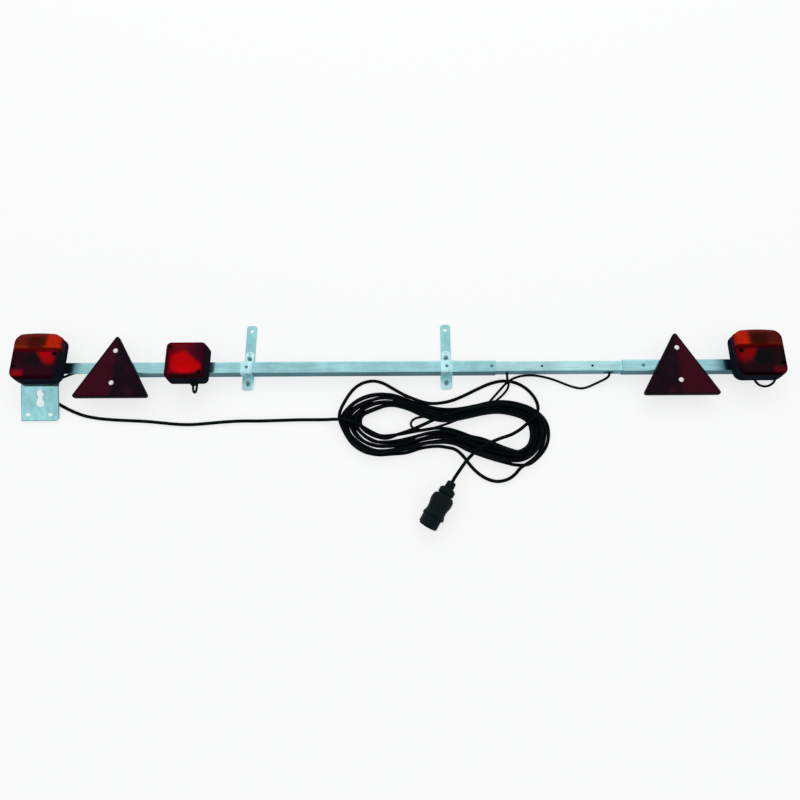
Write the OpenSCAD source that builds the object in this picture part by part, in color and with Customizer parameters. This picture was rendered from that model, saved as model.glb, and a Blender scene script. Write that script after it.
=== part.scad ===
// Telescopic trailer lighting board, lying on its back with the lamps up.
// X runs along the bar, Y points to the upper edge of the board, Z points away from the ground.

/* [Telescopic bar] */
// Height and depth of the two square outer tubes
tube_w = 25; // [23:0.5:28]
// Wall of every tube
tube_wall = 1.5; // [1.2:0.1:2]
// Outside corner radius of every tube
tube_corner = 2.5; // [2.1:0.1:3.5]
// Sliding gap between the inner tube and the outer ones, on each side
slide_gap = 0.3; // [0.2:0.05:0.5]
// Length of the main tube
main_len = 968; // [930:1:1100]
// Length of the right tube
right_len = 303; // [300:1:380]
// Stretch of inner tube that shows between the outer tubes
bare_len = 259; // [200:1:300]
// Length of inner tube held in the main tube
inner_in_main = 220; // [160:1:280]
// Length of inner tube held in the right tube
inner_in_right = 170; // [120:1:190]
// Number of hole spacings between the two locking screws
lock_steps = 3; // [2:1:4]
// Diameter of the locking holes
lock_d = 5; // [4:0.5:6]
// Distance of the main locking screw from the end of the main tube
lock_inset = 9; // [7:0.5:14]
// Distance of the right locking screw from the start of the right tube
right_lock_inset = 41; // [14:1:50]
// Diameter of a locking screw's head
lock_head_d = 7.5; // [7:0.5:9]
// Length of the cut-away at the left end, where only the front and upper walls are left
cut_len = 160; // [140:1:170]
// Round cable port in the inner tube, beside the main tube
port_d = 8; // [6:0.5:10]
// Distance of the round port from the end of the main tube
port_inset = 23; // [20:0.5:30]
// Length of the slotted cable port beside the right tube
port_slot_len = 22; // [12:1:26]
// Distance of the slotted port's middle from the right tube
port_slot_inset = 26; // [20:1:34]

/* [Rear lamps] */
// Width of a rear lamp
lamp_w = 98; // [94:1:110]
// Height of a rear lamp
lamp_h = 97; // [92:1:105]
// How far a rear lamp reaches below the middle of the bar
lamp_drop = 35; // [32:0.5:38]
// Radius of the lamp's corners in front view
lamp_corner = 17; // [12:1:20]
// Rise of the middle of the lamp's upper edge
lamp_arch = 3; // [1:0.5:4]
// Depth of the black base
lamp_base_d = 15; // [14:0.5:20]
// Depth of the lens in front of the base
lens_d = 17; // [16:0.5:24]
// Height of the amber window
amber_h = 34; // [32:0.5:36]
// Wall of the lenses and bases
lens_wall = 2; // [1.5:0.1:2.5]
// Rounding of the lens's front edge
lens_edge = 4; // [2:0.5:6]
// Rise of the lens's face from its edge to its middle
lens_crown = 2; // [0.5:0.5:4]
// Distance of the lamp's middle from the end of its tube
lamp_inset = 35; // [32:1:38]
// Spacing of the two bolts that hold a rear lamp
lamp_bolt_pitch = 50; // [40:1:54]
// Diameter of the bolts that hold a rear lamp
lamp_bolt_d = 5; // [4:0.5:6]
// Distance of a lens screw from the lamp's side
lens_screw_inset = 9; // [8.5:0.5:11]
// Diameter of a lens screw's head
lens_screw_head_d = 7; // [6:0.5:7.5]
// Diameter of a bulb's glass
bulb_d = 25; // [20:0.5:26]
// Diameter of a bulb's metal cap
bulb_cap_d = 15; // [12:0.5:16]

/* [Fog lamp] */
// Width of the fog lamp
fog_w = 82; // [76:1:95]
// Height of the fog lamp
fog_h = 78; // [74:1:90]
// How far the fog lamp reaches below the middle of the bar
fog_drop = 36; // [33:0.5:42]
// Radius of the fog lamp's corners in front view
fog_corner = 10; // [6:1:14]
// Depth of the fog lamp's black base
fog_base_d = 17; // [15:0.5:22]
// Depth of the fog lamp's lens
fog_lens_d = 21; // [18:0.5:26]
// Distance of the fog lamp's middle from the left end of the main tube
fog_at = 340; // [320:1:370]
// Spacing of the two screws that hold the fog lamp
fog_screw_pitch = 44; // [36:1:50]
// Diameter of the gland below the fog lamp
gland_d = 14; // [12:0.5:16]
// Distance of the gland to the right of the fog lamp's middle
gland_at = 14; // [10:1:20]

/* [Triangles] */
// Width of a reflector triangle
tri_w = 152; // [145:1:160]
// Radius of a triangle's corners
tri_corner = 4.5; // [4:0.5:9]
// How far a triangle reaches below the middle of the bar
tri_drop = 66; // [62:1:70]
// Thickness of a triangle's black backing
tri_t = 7; // [6:0.5:9]
// Width of the black rim round the red prism
tri_rim = 3; // [3:0.5:6]
// Depth to which the prism is sunk into the backing
prism_t = 4; // [3:0.5:4.5]
// Spacing of a triangle's two screws, above and below the bar
tri_screw_pitch = 70; // [60:1:74]
// Diameter of a triangle's screws
tri_screw_d = 5; // [4:0.5:6]
// Diameter of the domed heads on a triangle
dome_d = 10; // [8:0.5:12]
// Distance of the left triangle's middle from the left end of the main tube
tri_at = 185; // [180:1:200]
// Place of the right triangle's middle: its distance from the right tube's end, as a share of that tube
right_tri_share = 0.634; // [0.61:0.01:0.66]

/* [Hanging brackets] */
// Width of a strap
strap_w = 21; // [18:0.5:24]
// Thickness of a strap and of the strips behind the triangles
strap_t = 3; // [2.5:0.5:5]
// Reach of a strap above the middle of the bar
strap_top = 104; // [90:1:120]
// Reach of a strap below the middle of the bar
strap_bottom = 41; // [38:1:48]
// Diameter of the fixing hole at the top of a strap
strap_hole_d = 8.5; // [6:0.5:10]
// Distance of the fixing hole from the top of the strap
strap_hole_inset = 12; // [9:0.5:16]
// Width of the saddle that clamps the bar to a strap
saddle_w = 24; // [22:0.5:28]
// Thickness of the saddle
saddle_t = 1.5; // [1:0.1:2.5]
// Reach of the saddle's upper foot above the middle of the bar
saddle_top = 44; // [42:1:50]
// Spacing of the bolts through a saddle and its strap
bracket_bolt_pitch = 55; // [50:1:60]
// Diameter of the bolts through a saddle and its strap
bracket_bolt_d = 5; // [4:0.5:6]
// Distance of the left bracket from the left end of the main tube
bracket_at = 456; // [430:1:480]
// Spacing of the two brackets
bracket_pitch = 411; // [380:1:440]

/* [Keyhole plate] */
// Width of the plate
plate_w = 77; // [70:1:90]
// Offset of the plate's middle towards the bar's middle, from the middle of the lamp
plate_shift = 2.5; // [0:0.5:4]
// Thickness of the plate
plate_t = 2; // [1.5:0.5:3]
// Height of the plate's upper edge above the middle of the bar
plate_top = 11; // [9:0.5:12]
// Distance of the bend below the middle of the bar
plate_bend = 40; // [38:0.5:42]
// Angle by which the lower part is bent back
plate_tilt = 20; // [0:1:20]
// Length of the part below the bend
plate_len = 70; // [64:1:72]
// Diameter of the keyhole's upper circle
key_top_d = 15.5; // [12:0.5:18]
// Diameter of the keyhole's lower circle
key_low_d = 17; // [12:0.5:20]
// Width of the neck between the keyhole's circles
key_neck = 11; // [8:0.5:12]
// Distance of the upper circle from the bend
key_top_at = 14; // [12:0.5:18]
// Distance of the lower circle from the bend
key_low_at = 33; // [30:0.5:38]
// Length of the two small slots
slot_len = 10; // [8:0.5:14]
// Width of the two small slots
slot_w = 7; // [5:0.5:8]
// Spacing of the two small slots
slot_pitch = 46; // [40:1:52]
// Distance of the small slots from the bend
slot_at = 57; // [52:0.5:60]

/* [Cables and plug] */
// Diameter of the main cable
trunk_d = 7; // [6:0.5:9]
// Diameter of the thin cables
link_d = 5; // [4:0.5:6]
// Height of the coiled hank
hank_h = 21; // [14:1:24]
// Length of the plug
plug_len = 98; // [90:1:110]
// Greatest diameter of the plug
plug_d = 44; // [40:1:46]
// Diameter of the plug's nose
nose_d = 37; // [34:0.5:38]
// Length of the plug's nose
nose_len = 20; // [16:1:24]
// Wall of the plug's nose
nose_wall = 2.5; // [2:0.25:3]
// Diameter of a contact pin
pin_d = 4; // [3:0.5:5]

/* [Hidden] */
$fn = 48;

// Overlap of cutting tools past the faces that they cut
e = 0.5;
// Thickness of the layers that a rounded block is wrapped round
skin = 0.02;

// Levels above the ground
bar_z = strap_t + tube_w / 2;
bar_front = strap_t + tube_w;
left_seat = bar_front + plate_t;

// Places along the bar, from the middle of the whole board
lamp_over = lamp_w / 2 - lamp_inset;
total_len = main_len + bare_len + right_len + 2 * lamp_over;
main_x0 = lamp_over - total_len / 2;
main_x1 = main_x0 + main_len;
right_x0 = main_x1 + bare_len;
right_x1 = right_x0 + right_len;
inner_x0 = main_x1 - inner_in_main;
inner_x1 = right_x0 + inner_in_right;
left_lamp_x = main_x0 + lamp_inset;
right_lamp_x = right_x1 - lamp_inset;
fog_x = main_x0 + fog_at;
left_tri_x = main_x0 + tri_at;
right_tri_x = right_x1 - right_len * right_tri_share;
bracket_xs = [main_x0 + bracket_at, main_x0 + bracket_at + bracket_pitch];
port_x = main_x1 + port_inset;
port_slot_x = right_x0 - port_slot_inset;

// Inner tube and its locking holes
inner_w = tube_w - 2 * tube_wall - 2 * slide_gap;
inner_corner = tube_corner - tube_wall;
bore_w = inner_w - 2 * tube_wall;
lock_x = main_x1 - lock_inset;
right_lock_x = right_x0 + right_lock_inset;
lock_pitch = (right_lock_x - lock_x) / lock_steps;
hole_end = 12;
hole_first = ceil((inner_x0 + hole_end - lock_x) / lock_pitch);
hole_last = floor((inner_x1 - hole_end - lock_x) / lock_pitch);

// Lamps
lamp_top = lamp_h - lamp_drop;
lamp_split = lamp_top - amber_h;
lens_front = lamp_base_d + lens_d;
fog_top = fog_h - fog_drop;
fog_front = fog_base_d + fog_lens_d;
draft = 1;
floor_t = 2.5;
rim_gap = 0.2;
rim_t = 1.4;
rim_h = 2;
well_floor = 2;
well_wall = 1.2;
screw_shank_d = 3.5;
boss_d = 8;
well_d = lens_screw_head_d + 1 + 2 * well_wall;
nut_gap = 0.1;
bulb_grip = 16;
bulb_len = 50;
entry_d = 12;
grommet_t = 2;
// Cable entries in a lamp's base: the main one and the one for the lead along the bar
entry_main = [0, -20];
entry_bar = [-30, -20];
lamp_screws = [[lens_screw_inset - lamp_w / 2, 18], [lamp_w / 2 - lens_screw_inset, -8]];
fog_screws = [[-30, fog_top - 12], [30, 12 - fog_drop]];

// Triangles: height of a rounded equilateral triangle of the given width
tri_side = tri_w - 2 * tri_corner;
tri_h = tri_side * sqrt(3) / 2 + 2 * tri_corner;

// Plug: its cable end, and the direction in which its mouth points
plug_at = [107, -240, plug_d / 2];
plug_turn = 240;
nut_len = 15;

// Exact 2D and 3D helpers

// Rectangle with round corners, centred
module round_rect(w, h, r) {
    square([w - 2 * r, h], center = true);
    square([w, h - 2 * r], center = true);
    for (x = [r - w / 2, w / 2 - r], y = [r - h / 2, h / 2 - r])
        translate([x, y]) circle(r);
}

// Lays a profile drawn in Y and Z along X
module along_x(x, len) {
    translate([x, 0, 0]) rotate([90, 0, 90]) linear_extrude(len) children();
}

// Square tube along X
module square_tube(x, len, w, r) {
    translate([0, 0, bar_z])
        along_x(x, len)
            difference() {
                round_rect(w, w, r);
                round_rect(w - 2 * tube_wall, w - 2 * tube_wall, max(r - tube_wall, 0.4));
            }
}

// Hexagonal nut standing on its lower face
module hex_nut(across, h, bore) {
    difference() {
        cylinder(d = across / cos(30), h = h, $fn = 6);
        translate([0, 0, -e]) cylinder(d = bore, h = h + 2 * e);
    }
}

// Domed screw head with a cross recess, its underside at zero
module dome_head(d, h) {
    r = (d * d / 4 + h * h) / (2 * h);
    difference() {
        intersection() {
            translate([0, 0, h - r]) sphere(r);
            cylinder(d = d, h = h);
        }
        for (a = [0, 90])
            rotate([0, 0, a]) translate([-d / 4, -d / 20, h - d / 10]) cube([d / 2, d / 10, d]);
    }
}

// Points of a quarter arc that starts at angle a
function arc(cx, cy, r, a) = [for (i = [0:6]) [cx + r * cos(a + 15 * i), cy + r * sin(a + 15 * i)]];

// Front view of a lamp: rounded corners and an upper edge with a slight arch
function lamp_outline(w, h, drop, r, arch, inset) =
    let (x = w / 2 - r, y0 = r - drop, y1 = h - drop - r, q = r - inset)
    concat(
        arc(x, y0, q, 270),
        arc(x, y1, q, 0),
        [for (t = [0.5, 0, -0.5]) [t * x, y1 + q + arch * (1 - t * t)]],
        arc(-x, y1, q, 90),
        arc(-x, y0, q, 180)
    );

// Straight-sided block with a lamp's outline
module lamp_slab(w, h, drop, r, arch, inset, z0, z1) {
    translate([0, 0, z0]) linear_extrude(z1 - z0) polygon(lamp_outline(w, h, drop, r, arch, inset));
}

// Lens-shaped block with a rounded front edge and a crowned face
module lens_block(w, h, drop, r, arch, inset, z0, z1) {
    turn = lens_edge * (1 - cos(45));
    hull() {
        lamp_slab(w, h, drop, r, arch, inset, z0, z0 + skin);
        lamp_slab(w, h, drop, r, arch, inset + draft, z1 - lens_edge, z1 - lens_edge + skin);
        lamp_slab(w, h, drop, r, arch, inset + draft + turn, z1 - turn - skin, z1 - turn);
        lamp_slab(w, h, drop, r, arch, inset + draft + lens_edge, z1 - skin, z1);
        translate([0, 0, z1]) lens_face(w, h, drop);
    }
}

// Small raised middle of a lens's face
module lens_face(w, h, drop) {
    translate([-w / 4, h / 4 - drop, 0]) cube([w / 2, h / 2, lens_crown]);
}

// Lens shell: a rounded block hollowed to the wall
module lens_shell(w, h, drop, r, arch, z0, z1) {
    difference() {
        lens_block(w, h, drop, r, arch, 0, z0, z1);
        lens_block(w, h, drop, r, arch, lens_wall, z0 - e, z1 - lens_wall);
    }
}

// Wells in a lens that take its screws down to the base
module screw_wells(places, z0, z1) {
    for (p = places)
        translate([p[0], p[1], z0]) cylinder(d = well_d, h = z1 - z0 - lens_wall / 2);
}
module screw_well_bores(places, z0, z1) {
    for (p = places)
        translate([p[0], p[1], 0]) {
            translate([0, 0, z0 + well_floor]) cylinder(d = lens_screw_head_d + 1, h = z1 - z0 + lens_crown);
            translate([0, 0, z0 - e]) cylinder(d = screw_shank_d + 0.4, h = well_floor + 2 * e);
        }
}

// Black lamp base: a tray with a rim that locates the lens, and bosses for the lens screws
module lamp_tray(w, h, drop, r, arch, depth, places) {
    difference() {
        union() {
            lamp_slab(w, h, drop, r, arch, 0, 0, depth);
            lamp_slab(w, h, drop, r, arch, lens_wall + rim_gap, depth - e, depth + rim_h);
        }
        lamp_slab(w, h, drop, r, arch, lens_wall + rim_gap + rim_t, floor_t, depth + rim_h + e);
    }
    for (p = places)
        translate([p[0], p[1], floor_t - e])
            difference() {
                cylinder(d = boss_d, h = depth + rim_h - floor_t + e);
                translate([0, 0, e]) cylinder(d = screw_shank_d, h = depth + rim_h);
            }
}

// Bayonet bulb along X: glass to the left, cap to the right
module bulb(len) {
    r = bulb_d / 2;
    neck = bulb_cap_d / 2 - 0.5;
    rotate([0, 90, 0])
        rotate_extrude() polygon(concat(
            [for (a = [0:15:135]) [r * sin(a), r - r * cos(a)]],
            [[neck, 2 * r + 4], [bulb_cap_d / 2, 2 * r + 4], [bulb_cap_d / 2, len - 1],
             [bulb_cap_d / 2 - 1, len], [0, len]]
        ));
}

// Socket block that grips a bulb's cap, along X
module bulb_socket(x, y, z, floor_z) {
    difference() {
        translate([x, y - socket_w / 2, floor_z]) cube([bulb_grip, socket_w, z + socket_w / 2 - floor_z]);
        translate([x - e, y, z]) rotate([0, 90, 0]) cylinder(d = bulb_cap_d + 0.2, h = bulb_grip + 2 * e);
    }
}

// Trough reflector along X round an axis
module trough(x, len, y, z, r, floor_z, half) {
    translate([x, 0, 0])
        intersection() {
            translate([0, y, z])
                rotate([0, 90, 0])
                    difference() {
                        cylinder(r = r + 1.2, h = len);
                        translate([0, 0, -e]) cylinder(r = r, h = len + 2 * e);
                    }
            translate([0, y - half, floor_z]) cube([len, 2 * half, z - floor_z]);
        }
}

// Cable entry grommet with a groove that grips the lamp's floor; its cable ends at its outer face
module grommet() {
    r = entry_d / 2;
    rotate_extrude() polygon([
        [0, -grommet_t], [r + 0.8, -grommet_t], [r + 1.2, -0.1], [r - 0.1, -0.1], [r - 0.1, floor_t + 0.1],
        [r + 1.8, floor_t + 0.1], [r + 0.6, floor_t + 2.5], [0, floor_t + 2.5]
    ]);
}

// Swept cables

function unit(v) = v / norm(v);
function bend_at(p, i) = acos(min(1, unit(p[i] - p[i - 1]) * unit(p[i + 1] - p[i])));

// Rounds one corner of a route within a reach, with a ring for every 25 degrees or so
function corner_rings(p, i, reach) =
    let (
        n = ceil(bend_at(p, i) / 25),
        d = min(reach, 0.48 * norm(p[i] - p[i - 1]), 0.48 * norm(p[i + 1] - p[i])),
        a = p[i] + d * unit(p[i - 1] - p[i]),
        b = p[i] + d * unit(p[i + 1] - p[i])
    )
    n < 2 ? [p[i]] : [for (k = [0:n]) let (t = k / n) a * (1 - t) * (1 - t) + 2 * p[i] * t * (1 - t) + b * t * t];
function rounded_route(p, reach) =
    concat([p[0]], [for (i = [1:len(p) - 2]) each corner_rings(p, i, reach)], [p[len(p) - 1]]);

// Direction of a route at each of its points
function heading(q, i) =
    i == 0 ? unit(q[1] - q[0]) :
    i == len(q) - 1 ? unit(q[i] - q[i - 1]) :
    unit(unit(q[i] - q[i - 1]) + unit(q[i + 1] - q[i]));

// Sideways directions that follow the route without twisting
function carried(n, t) = unit(n - (n * t) * t);
function sideways(q, i, n) =
    i == len(q) ? [] :
    let (m = carried(n, heading(q, i))) concat([m], sideways(q, i + 1, m));

// Round cable along a route: one closed polyhedron
module cable(route, d, reach, sides) {
    q = rounded_route(route, reach);
    t0 = heading(q, 0);
    side = sideways(q, 0, abs(t0[2]) > 0.9 ? [1, 0, 0] : [0, 0, 1]);
    last = len(q) - 1;
    points = [
        for (i = [0:last]) let (t = heading(q, i), m = side[i], b = cross(t, m))
            for (k = [0:sides - 1]) let (a = 360 * k / sides) q[i] + d / 2 * (cos(a) * m + sin(a) * b)
    ];
    faces = concat(
        [[for (k = [sides - 1:-1:0]) k]],
        [for (i = [0:last - 1], k = [0:sides - 1])
            let (j = (k + 1) % sides)
            [i * sides + k, i * sides + j, (i + 1) * sides + j, (i + 1) * sides + k]],
        [[for (k = [0:sides - 1]) last * sides + k]]
    );
    polyhedron(points, [for (f = faces) [for (k = [len(f) - 1:-1:0]) f[k]]]);
}

// Smooth closed outline through a few points
function smooth_ring(p, n) = [
    for (i = [0:len(p) - 1], k = [0:n - 1])
        let (
            m = len(p), t = k / n,
            a = p[(i + m - 1) % m], b = p[i], c = p[(i + 1) % m], d = p[(i + 2) % m]
        )
        0.5 * (2 * b + (c - a) * t + (2 * a - 5 * b + 4 * c - d) * t * t + (3 * b - a - 3 * c + d) * t * t * t)
];

// Routes of the cables, chosen by hand
trunk_route = [
    [-730, -20, 28], [-730, -20, 18], [-733, -27, 8.5], [-733.5, -37, 4], [-727, -46, 3.5], [-717, -54.5, 3.5],
    [-706, -63, 3.5], [-694, -71, 3.5], [-680, -78.5, 3.5], [-662, -87, 3.5], [-640, -95, 3.5],
    [-610, -101, 3.5], [-580, -104, 3.5],
    [-545, -106, 3.5], [-510, -108, 3.5], [-480, -111, 3.5], [-450, -114, 3.5], [-420, -115, 3.5],
    [-390, -113, 3.5], [-355, -110, 3.5], [-320, -108, 3.5], [-280, -108, 3.5], [-200, -106, 3.5],
    [-112, -106, 3.5]
];
plug_lead_route = [
    [107, -240, 22], [114, -228, 21], [121, -216, 18], [129, -204, 13], [144, -184, 9]
];
link_left_route = [
    [226, -11, 15.5], [226, -22, 15.5], [229, -31, 12], [228, -36, 6], [225, -44, 2.5], [218, -52, 2.5],
    [205, -63, 2.5], [190, -80, 2.5]
];
link_right_route = [
    [176, -83, 3], [197, -62, 3.5], [212, -44, 7], [225, -31, 10], [238, -22, 12], [253, -17, 12.5],
    [268, -15, 12], [284, -15, 11], [300, -17, 9], [320, -22, 6], [342, -30, 3.5], [360, -37, 2.5],
    [378, -41, 2.5], [392, -38.5, 2.5], [404, -33.5, 3.5], [415, -29, 6.5], [425, -25, 10.5], [433, -21.5, 14.5],
    [436, -17, 15.5], [436, -11, 15.5]
];

// Routes that follow the bar: each point is set from the lamp or port that it belongs to
lead_z = strap_t + tube_wall + link_d / 2 + 0.2;
lead_in_z = lead_z + tube_wall + slide_gap;
port_end_y = slide_gap - bore_w / 2;
bar_entry_x = left_lamp_x - entry_bar[0];
bar_cable_route = [
    [bar_entry_x, entry_bar[1], bar_front], [bar_entry_x, entry_bar[1], 18], [bar_entry_x + 10, -13, 11],
    [bar_entry_x + 30, -2, lead_z + 1.3], [bar_entry_x + 60, 0, lead_z], [main_x0 + cut_len + 5, 0, lead_z],
    [inner_x0 - 43, 0, lead_z], [inner_x0 - 13, 0, lead_in_z], [port_x - 21, 1, lead_in_z],
    [port_x - 7, 0, 12], [port_x, -4, bar_z], [port_x, port_end_y, bar_z]
];
right_lamp_route = [
    [port_slot_x, port_end_y, bar_z], [port_slot_x, -4, bar_z], [port_slot_x + 7, 0, 12],
    [port_slot_x + 22, 1, lead_in_z], [inner_x1 + 18, 1, lead_in_z], [inner_x1 + 53, 0, lead_z],
    [right_x1 - 10, 0, lead_z], [right_x1 + 3, -2, 9], [right_x1 + 10, -12, 12],
    [right_x1 + 10, -22, 15], [right_x1 + 5, -33, 15], [right_x1 - 5, -40.5, 14],
    [right_x1 - 16, -43, 14], [right_x1 - 26.5, -40, 14], [right_x1 - 33, -31.5, 14],
    [right_lamp_x, entry_main[1] - 5, 15], [right_lamp_x, entry_main[1], 19],
    [right_lamp_x, entry_main[1], bar_front - grommet_t]
];
fog_cable_x = fog_x + gland_at;
gland_z = bar_front + fog_base_d - gland_d / 2 + 1;
fog_cable_route = [
    [fog_cable_x, -fog_drop - 7, gland_z], [fog_cable_x, -fog_drop - 17, gland_z],
    [fog_cable_x, -fog_drop - 19, 32], [fog_cable_x, -fog_drop - 17, 25], [fog_cable_x, -fog_drop - 11, 18],
    [fog_cable_x, -fog_drop + 1, bar_z], [fog_cable_x, -tube_w / 2 - 8, bar_z], [fog_cable_x, -tube_w / 2, bar_z]
];

// Smooth open line through a few points
function smooth_line(p, n) = concat([
    for (i = [0:len(p) - 2], k = [0:n - 1])
        let (t = k / n, a = p[max(i - 1, 0)], b = p[i], c = p[i + 1], d = p[min(i + 2, len(p) - 1)])
        0.5 * (2 * b + (c - a) * t + (2 * a - 5 * b + 4 * c - d) * t * t + (3 * b - a - 3 * c + d) * t * t * t)
], [p[len(p) - 1]]);

// Outline of a line of a given width
function across(p, i) =
    let (t = unit(p[min(i + 1, len(p) - 1)] - p[max(i - 1, 0)])) [-t[1], t[0]];
function stroke(p, w) = concat(
    [for (i = [0:len(p) - 1]) p[i] + w / 2 * across(p, i)],
    [for (i = [len(p) - 1:-1:0]) p[i] - w / 2 * across(p, i)]
);

// Turns that lie loose beside the hank
loose_turns = [
    [[-108, -100], [-104, -72], [-86, -36], [-48, -23], [-9, -40], [32, -66], [60, -82]],
    [[55, -80], [88, -73], [138, -55], [192, -29], [230, -25], [264, -40], [284, -70], [284, -100]],
    [[125, -176], [146, -203], [178, -231], [205, -236], [230, -225], [244, -200]]
];

// Outline of the hank and of its two openings
hank_outline = [
    [-119, -114], [-108, -84], [-80, -58], [-40, -47], [0, -53], [45, -70], [90, -83], [135, -85],
    [180, -76], [225, -70], [265, -78], [298, -104], [310, -145], [298, -182], [265, -206], [215, -211],
    [165, -197], [125, -178], [85, -166], [40, -172], [-30, -187], [-75, -180], [-105, -158]
];
hank_left_opening = [
    [-67, -114], [-45, -96], [-12, -86], [25, -92], [50, -108], [50, -124], [20, -135], [-25, -144], [-55, -132]
];
hank_right_opening = [
    [116, -119], [152, -106], [195, -100], [235, -105], [257, -120], [252, -136], [215, -146], [175, -142],
    [138, -132]
];

// Telescopic bar

module main_tube() {
    color("lightsteelblue")
        difference() {
            square_tube(main_x0, main_len, tube_w, tube_corner);
            translate([main_x0 - e, -tube_w / 2 - e, strap_t - e])
                cube([cut_len + e, tube_w - tube_wall + e, tube_w - tube_wall + e]);
            for (s = [-1, 1])
                translate([left_lamp_x + s * lamp_bolt_pitch / 2, 0, bar_z])
                    cylinder(d = lamp_bolt_d + 0.5, h = tube_w);
            for (s = [-1, 1])
                translate([fog_x + s * fog_screw_pitch / 2, 0, bar_z]) cylinder(d = screw_shank_d, h = tube_w);
            for (x = bracket_xs)
                translate([x, 0, bar_z]) cylinder(d = screw_shank_d, h = tube_w);
            translate([lock_x, 0, bar_z]) cylinder(d = lock_d, h = tube_w);
            translate([fog_cable_x, 0, bar_z]) rotate([90, 0, 0]) cylinder(d = link_d + 1, h = tube_w);
        }
}

module inner_tube() {
    color("azure")
        difference() {
            square_tube(inner_x0, inner_x1 - inner_x0, inner_w, inner_corner);
            for (i = [hole_first:hole_last])
                translate([lock_x + i * lock_pitch, 0, bar_z]) cylinder(d = lock_d, h = tube_w);
            translate([port_x, 0, bar_z]) rotate([90, 0, 0]) cylinder(d = port_d, h = tube_w);
            translate([port_slot_x, 0, bar_z])
                rotate([90, 0, 0]) {
                    for (s = [-1, 1])
                        translate([s * (port_slot_len - port_d) / 2, 0, 0]) cylinder(d = port_d, h = tube_w);
                    translate([(port_d - port_slot_len) / 2, -port_d / 2, 0])
                        cube([port_slot_len - port_d, port_d, tube_w]);
                }
        }
}

module right_tube() {
    color("lightsteelblue")
        difference() {
            square_tube(right_x0, right_len, tube_w, tube_corner);
            translate([right_lock_x, 0, bar_z]) cylinder(d = lock_d, h = tube_w);
            for (s = [-1, 1])
                translate([right_lamp_x + s * lamp_bolt_pitch / 2, 0, bar_z])
                    cylinder(d = lamp_bolt_d, h = tube_w);
        }
}

// Locking screw: its tip ends flush with the inside of the outer tube
module lock_screw(x) {
    color("dimgray")
        translate([x, 0, bar_front]) {
            dome_head(lock_head_d, 2);
            translate([0, 0, -tube_wall]) cylinder(d = lock_d, h = tube_wall + 0.5);
        }
}

// Rear lamps, drawn as the right one and mirrored for the left one

module place_lamp(side) {
    if (side < 0)
        translate([left_lamp_x, 0, left_seat]) mirror([1, 0, 0]) children();
    else
        translate([right_lamp_x, 0, bar_front]) children();
}

module lamp_base(side) {
    entries = side < 0 ? [entry_main, entry_bar] : [entry_main];
    color("#161616")
        place_lamp(side)
            difference() {
                lamp_tray(lamp_w, lamp_h, lamp_drop, lamp_corner, lamp_arch, lamp_base_d, lamp_screws);
                for (s = [-1, 1])
                    translate([s * lamp_bolt_pitch / 2, 0, -e]) cylinder(d = lamp_bolt_d + 0.5, h = floor_t + 2 * e);
                for (p = entries)
                    translate([p[0], p[1], -e]) cylinder(d = entry_d, h = floor_t + 2 * e);
            }
}

module lamp_lens(side, amber) {
    z0 = lamp_base_d + rim_h;
    half = lamp_w + lamp_h;
    color(amber ? "#e8590c" : "#a30d12")
        place_lamp(side)
            difference() {
                intersection() {
                    union() {
                        lens_shell(lamp_w, lamp_h, lamp_drop, lamp_corner, lamp_arch, lamp_base_d, lens_front);
                        if (!amber) screw_wells(lamp_screws, z0, lens_front);
                    }
                    translate([-half, amber ? lamp_split : lamp_split - half, 0]) cube([2 * half, half, half]);
                }
                if (!amber) screw_well_bores(lamp_screws, z0, lens_front);
            }
}

// Reflector insert: floor, dividing wall, two troughs and two bulb sockets
indicator_y = lamp_split + amber_h / 2 - 0.5;
socket_w = bulb_cap_d + 4;
tail_y = lamp_screws[1][1] + (well_d + socket_w) / 2 + 0.5;
floor_top = floor_t + 1.5;
bulb_z = floor_top + bulb_d / 2 + 0.5;
cap_x = lamp_w / 2 - lens_wall - rim_gap - rim_t - 4.5;
socket_x = cap_x - bulb_grip;

module lamp_reflector(side) {
    inner = lens_wall + rim_gap + rim_t + 0.3;
    bright_w = socket_x + lamp_w / 2 - lamp_corner + 3;
    color("gainsboro")
        place_lamp(side) {
            difference() {
                union() {
                    lamp_slab(lamp_w, lamp_h, lamp_drop, lamp_corner, lamp_arch, inner, floor_t, floor_top);
                    translate([-lamp_w / 2 + inner + 2, lamp_split - 1.5, floor_t])
                        cube([lamp_w - 2 * inner - 4, 1.5, lens_front - lens_wall - 1 - floor_t]);
                    trough(socket_x - bright_w, bright_w, indicator_y, bulb_z, bulb_d / 2 + 0.5, floor_t,
                        amber_h / 2 - inner);
                    bulb_socket(socket_x, indicator_y, bulb_z, floor_t);
                    bulb_socket(socket_x, tail_y, bulb_z, floor_t);
                }
                for (p = lamp_screws)
                    translate([p[0], p[1], 0]) cylinder(d = boss_d + 0.6, h = lens_front);
                for (s = [-1, 1])
                    translate([s * lamp_bolt_pitch / 2, 0, 0]) cylinder(d = lamp_bolt_d + 7, h = lamp_base_d);
                for (p = [entry_main, entry_bar])
                    translate([p[0], p[1], 0]) cylinder(d = entry_d + 4.5, h = lamp_base_d);
            }
        }
}

module lamp_bulb(side, y, z, tint) {
    color(tint)
        place_lamp(side) translate([cap_x - bulb_len, y, z]) bulb(bulb_len);
}

module lens_screws(side) {
    color("darkgray")
        place_lamp(side)
            for (p = lamp_screws)
                translate([p[0], p[1], lamp_base_d + rim_h + well_floor]) {
                    dome_head(lens_screw_head_d, 2.2);
                    translate([0, 0, -12]) cylinder(d = screw_shank_d, h = 12.5);
                }
}

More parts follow.
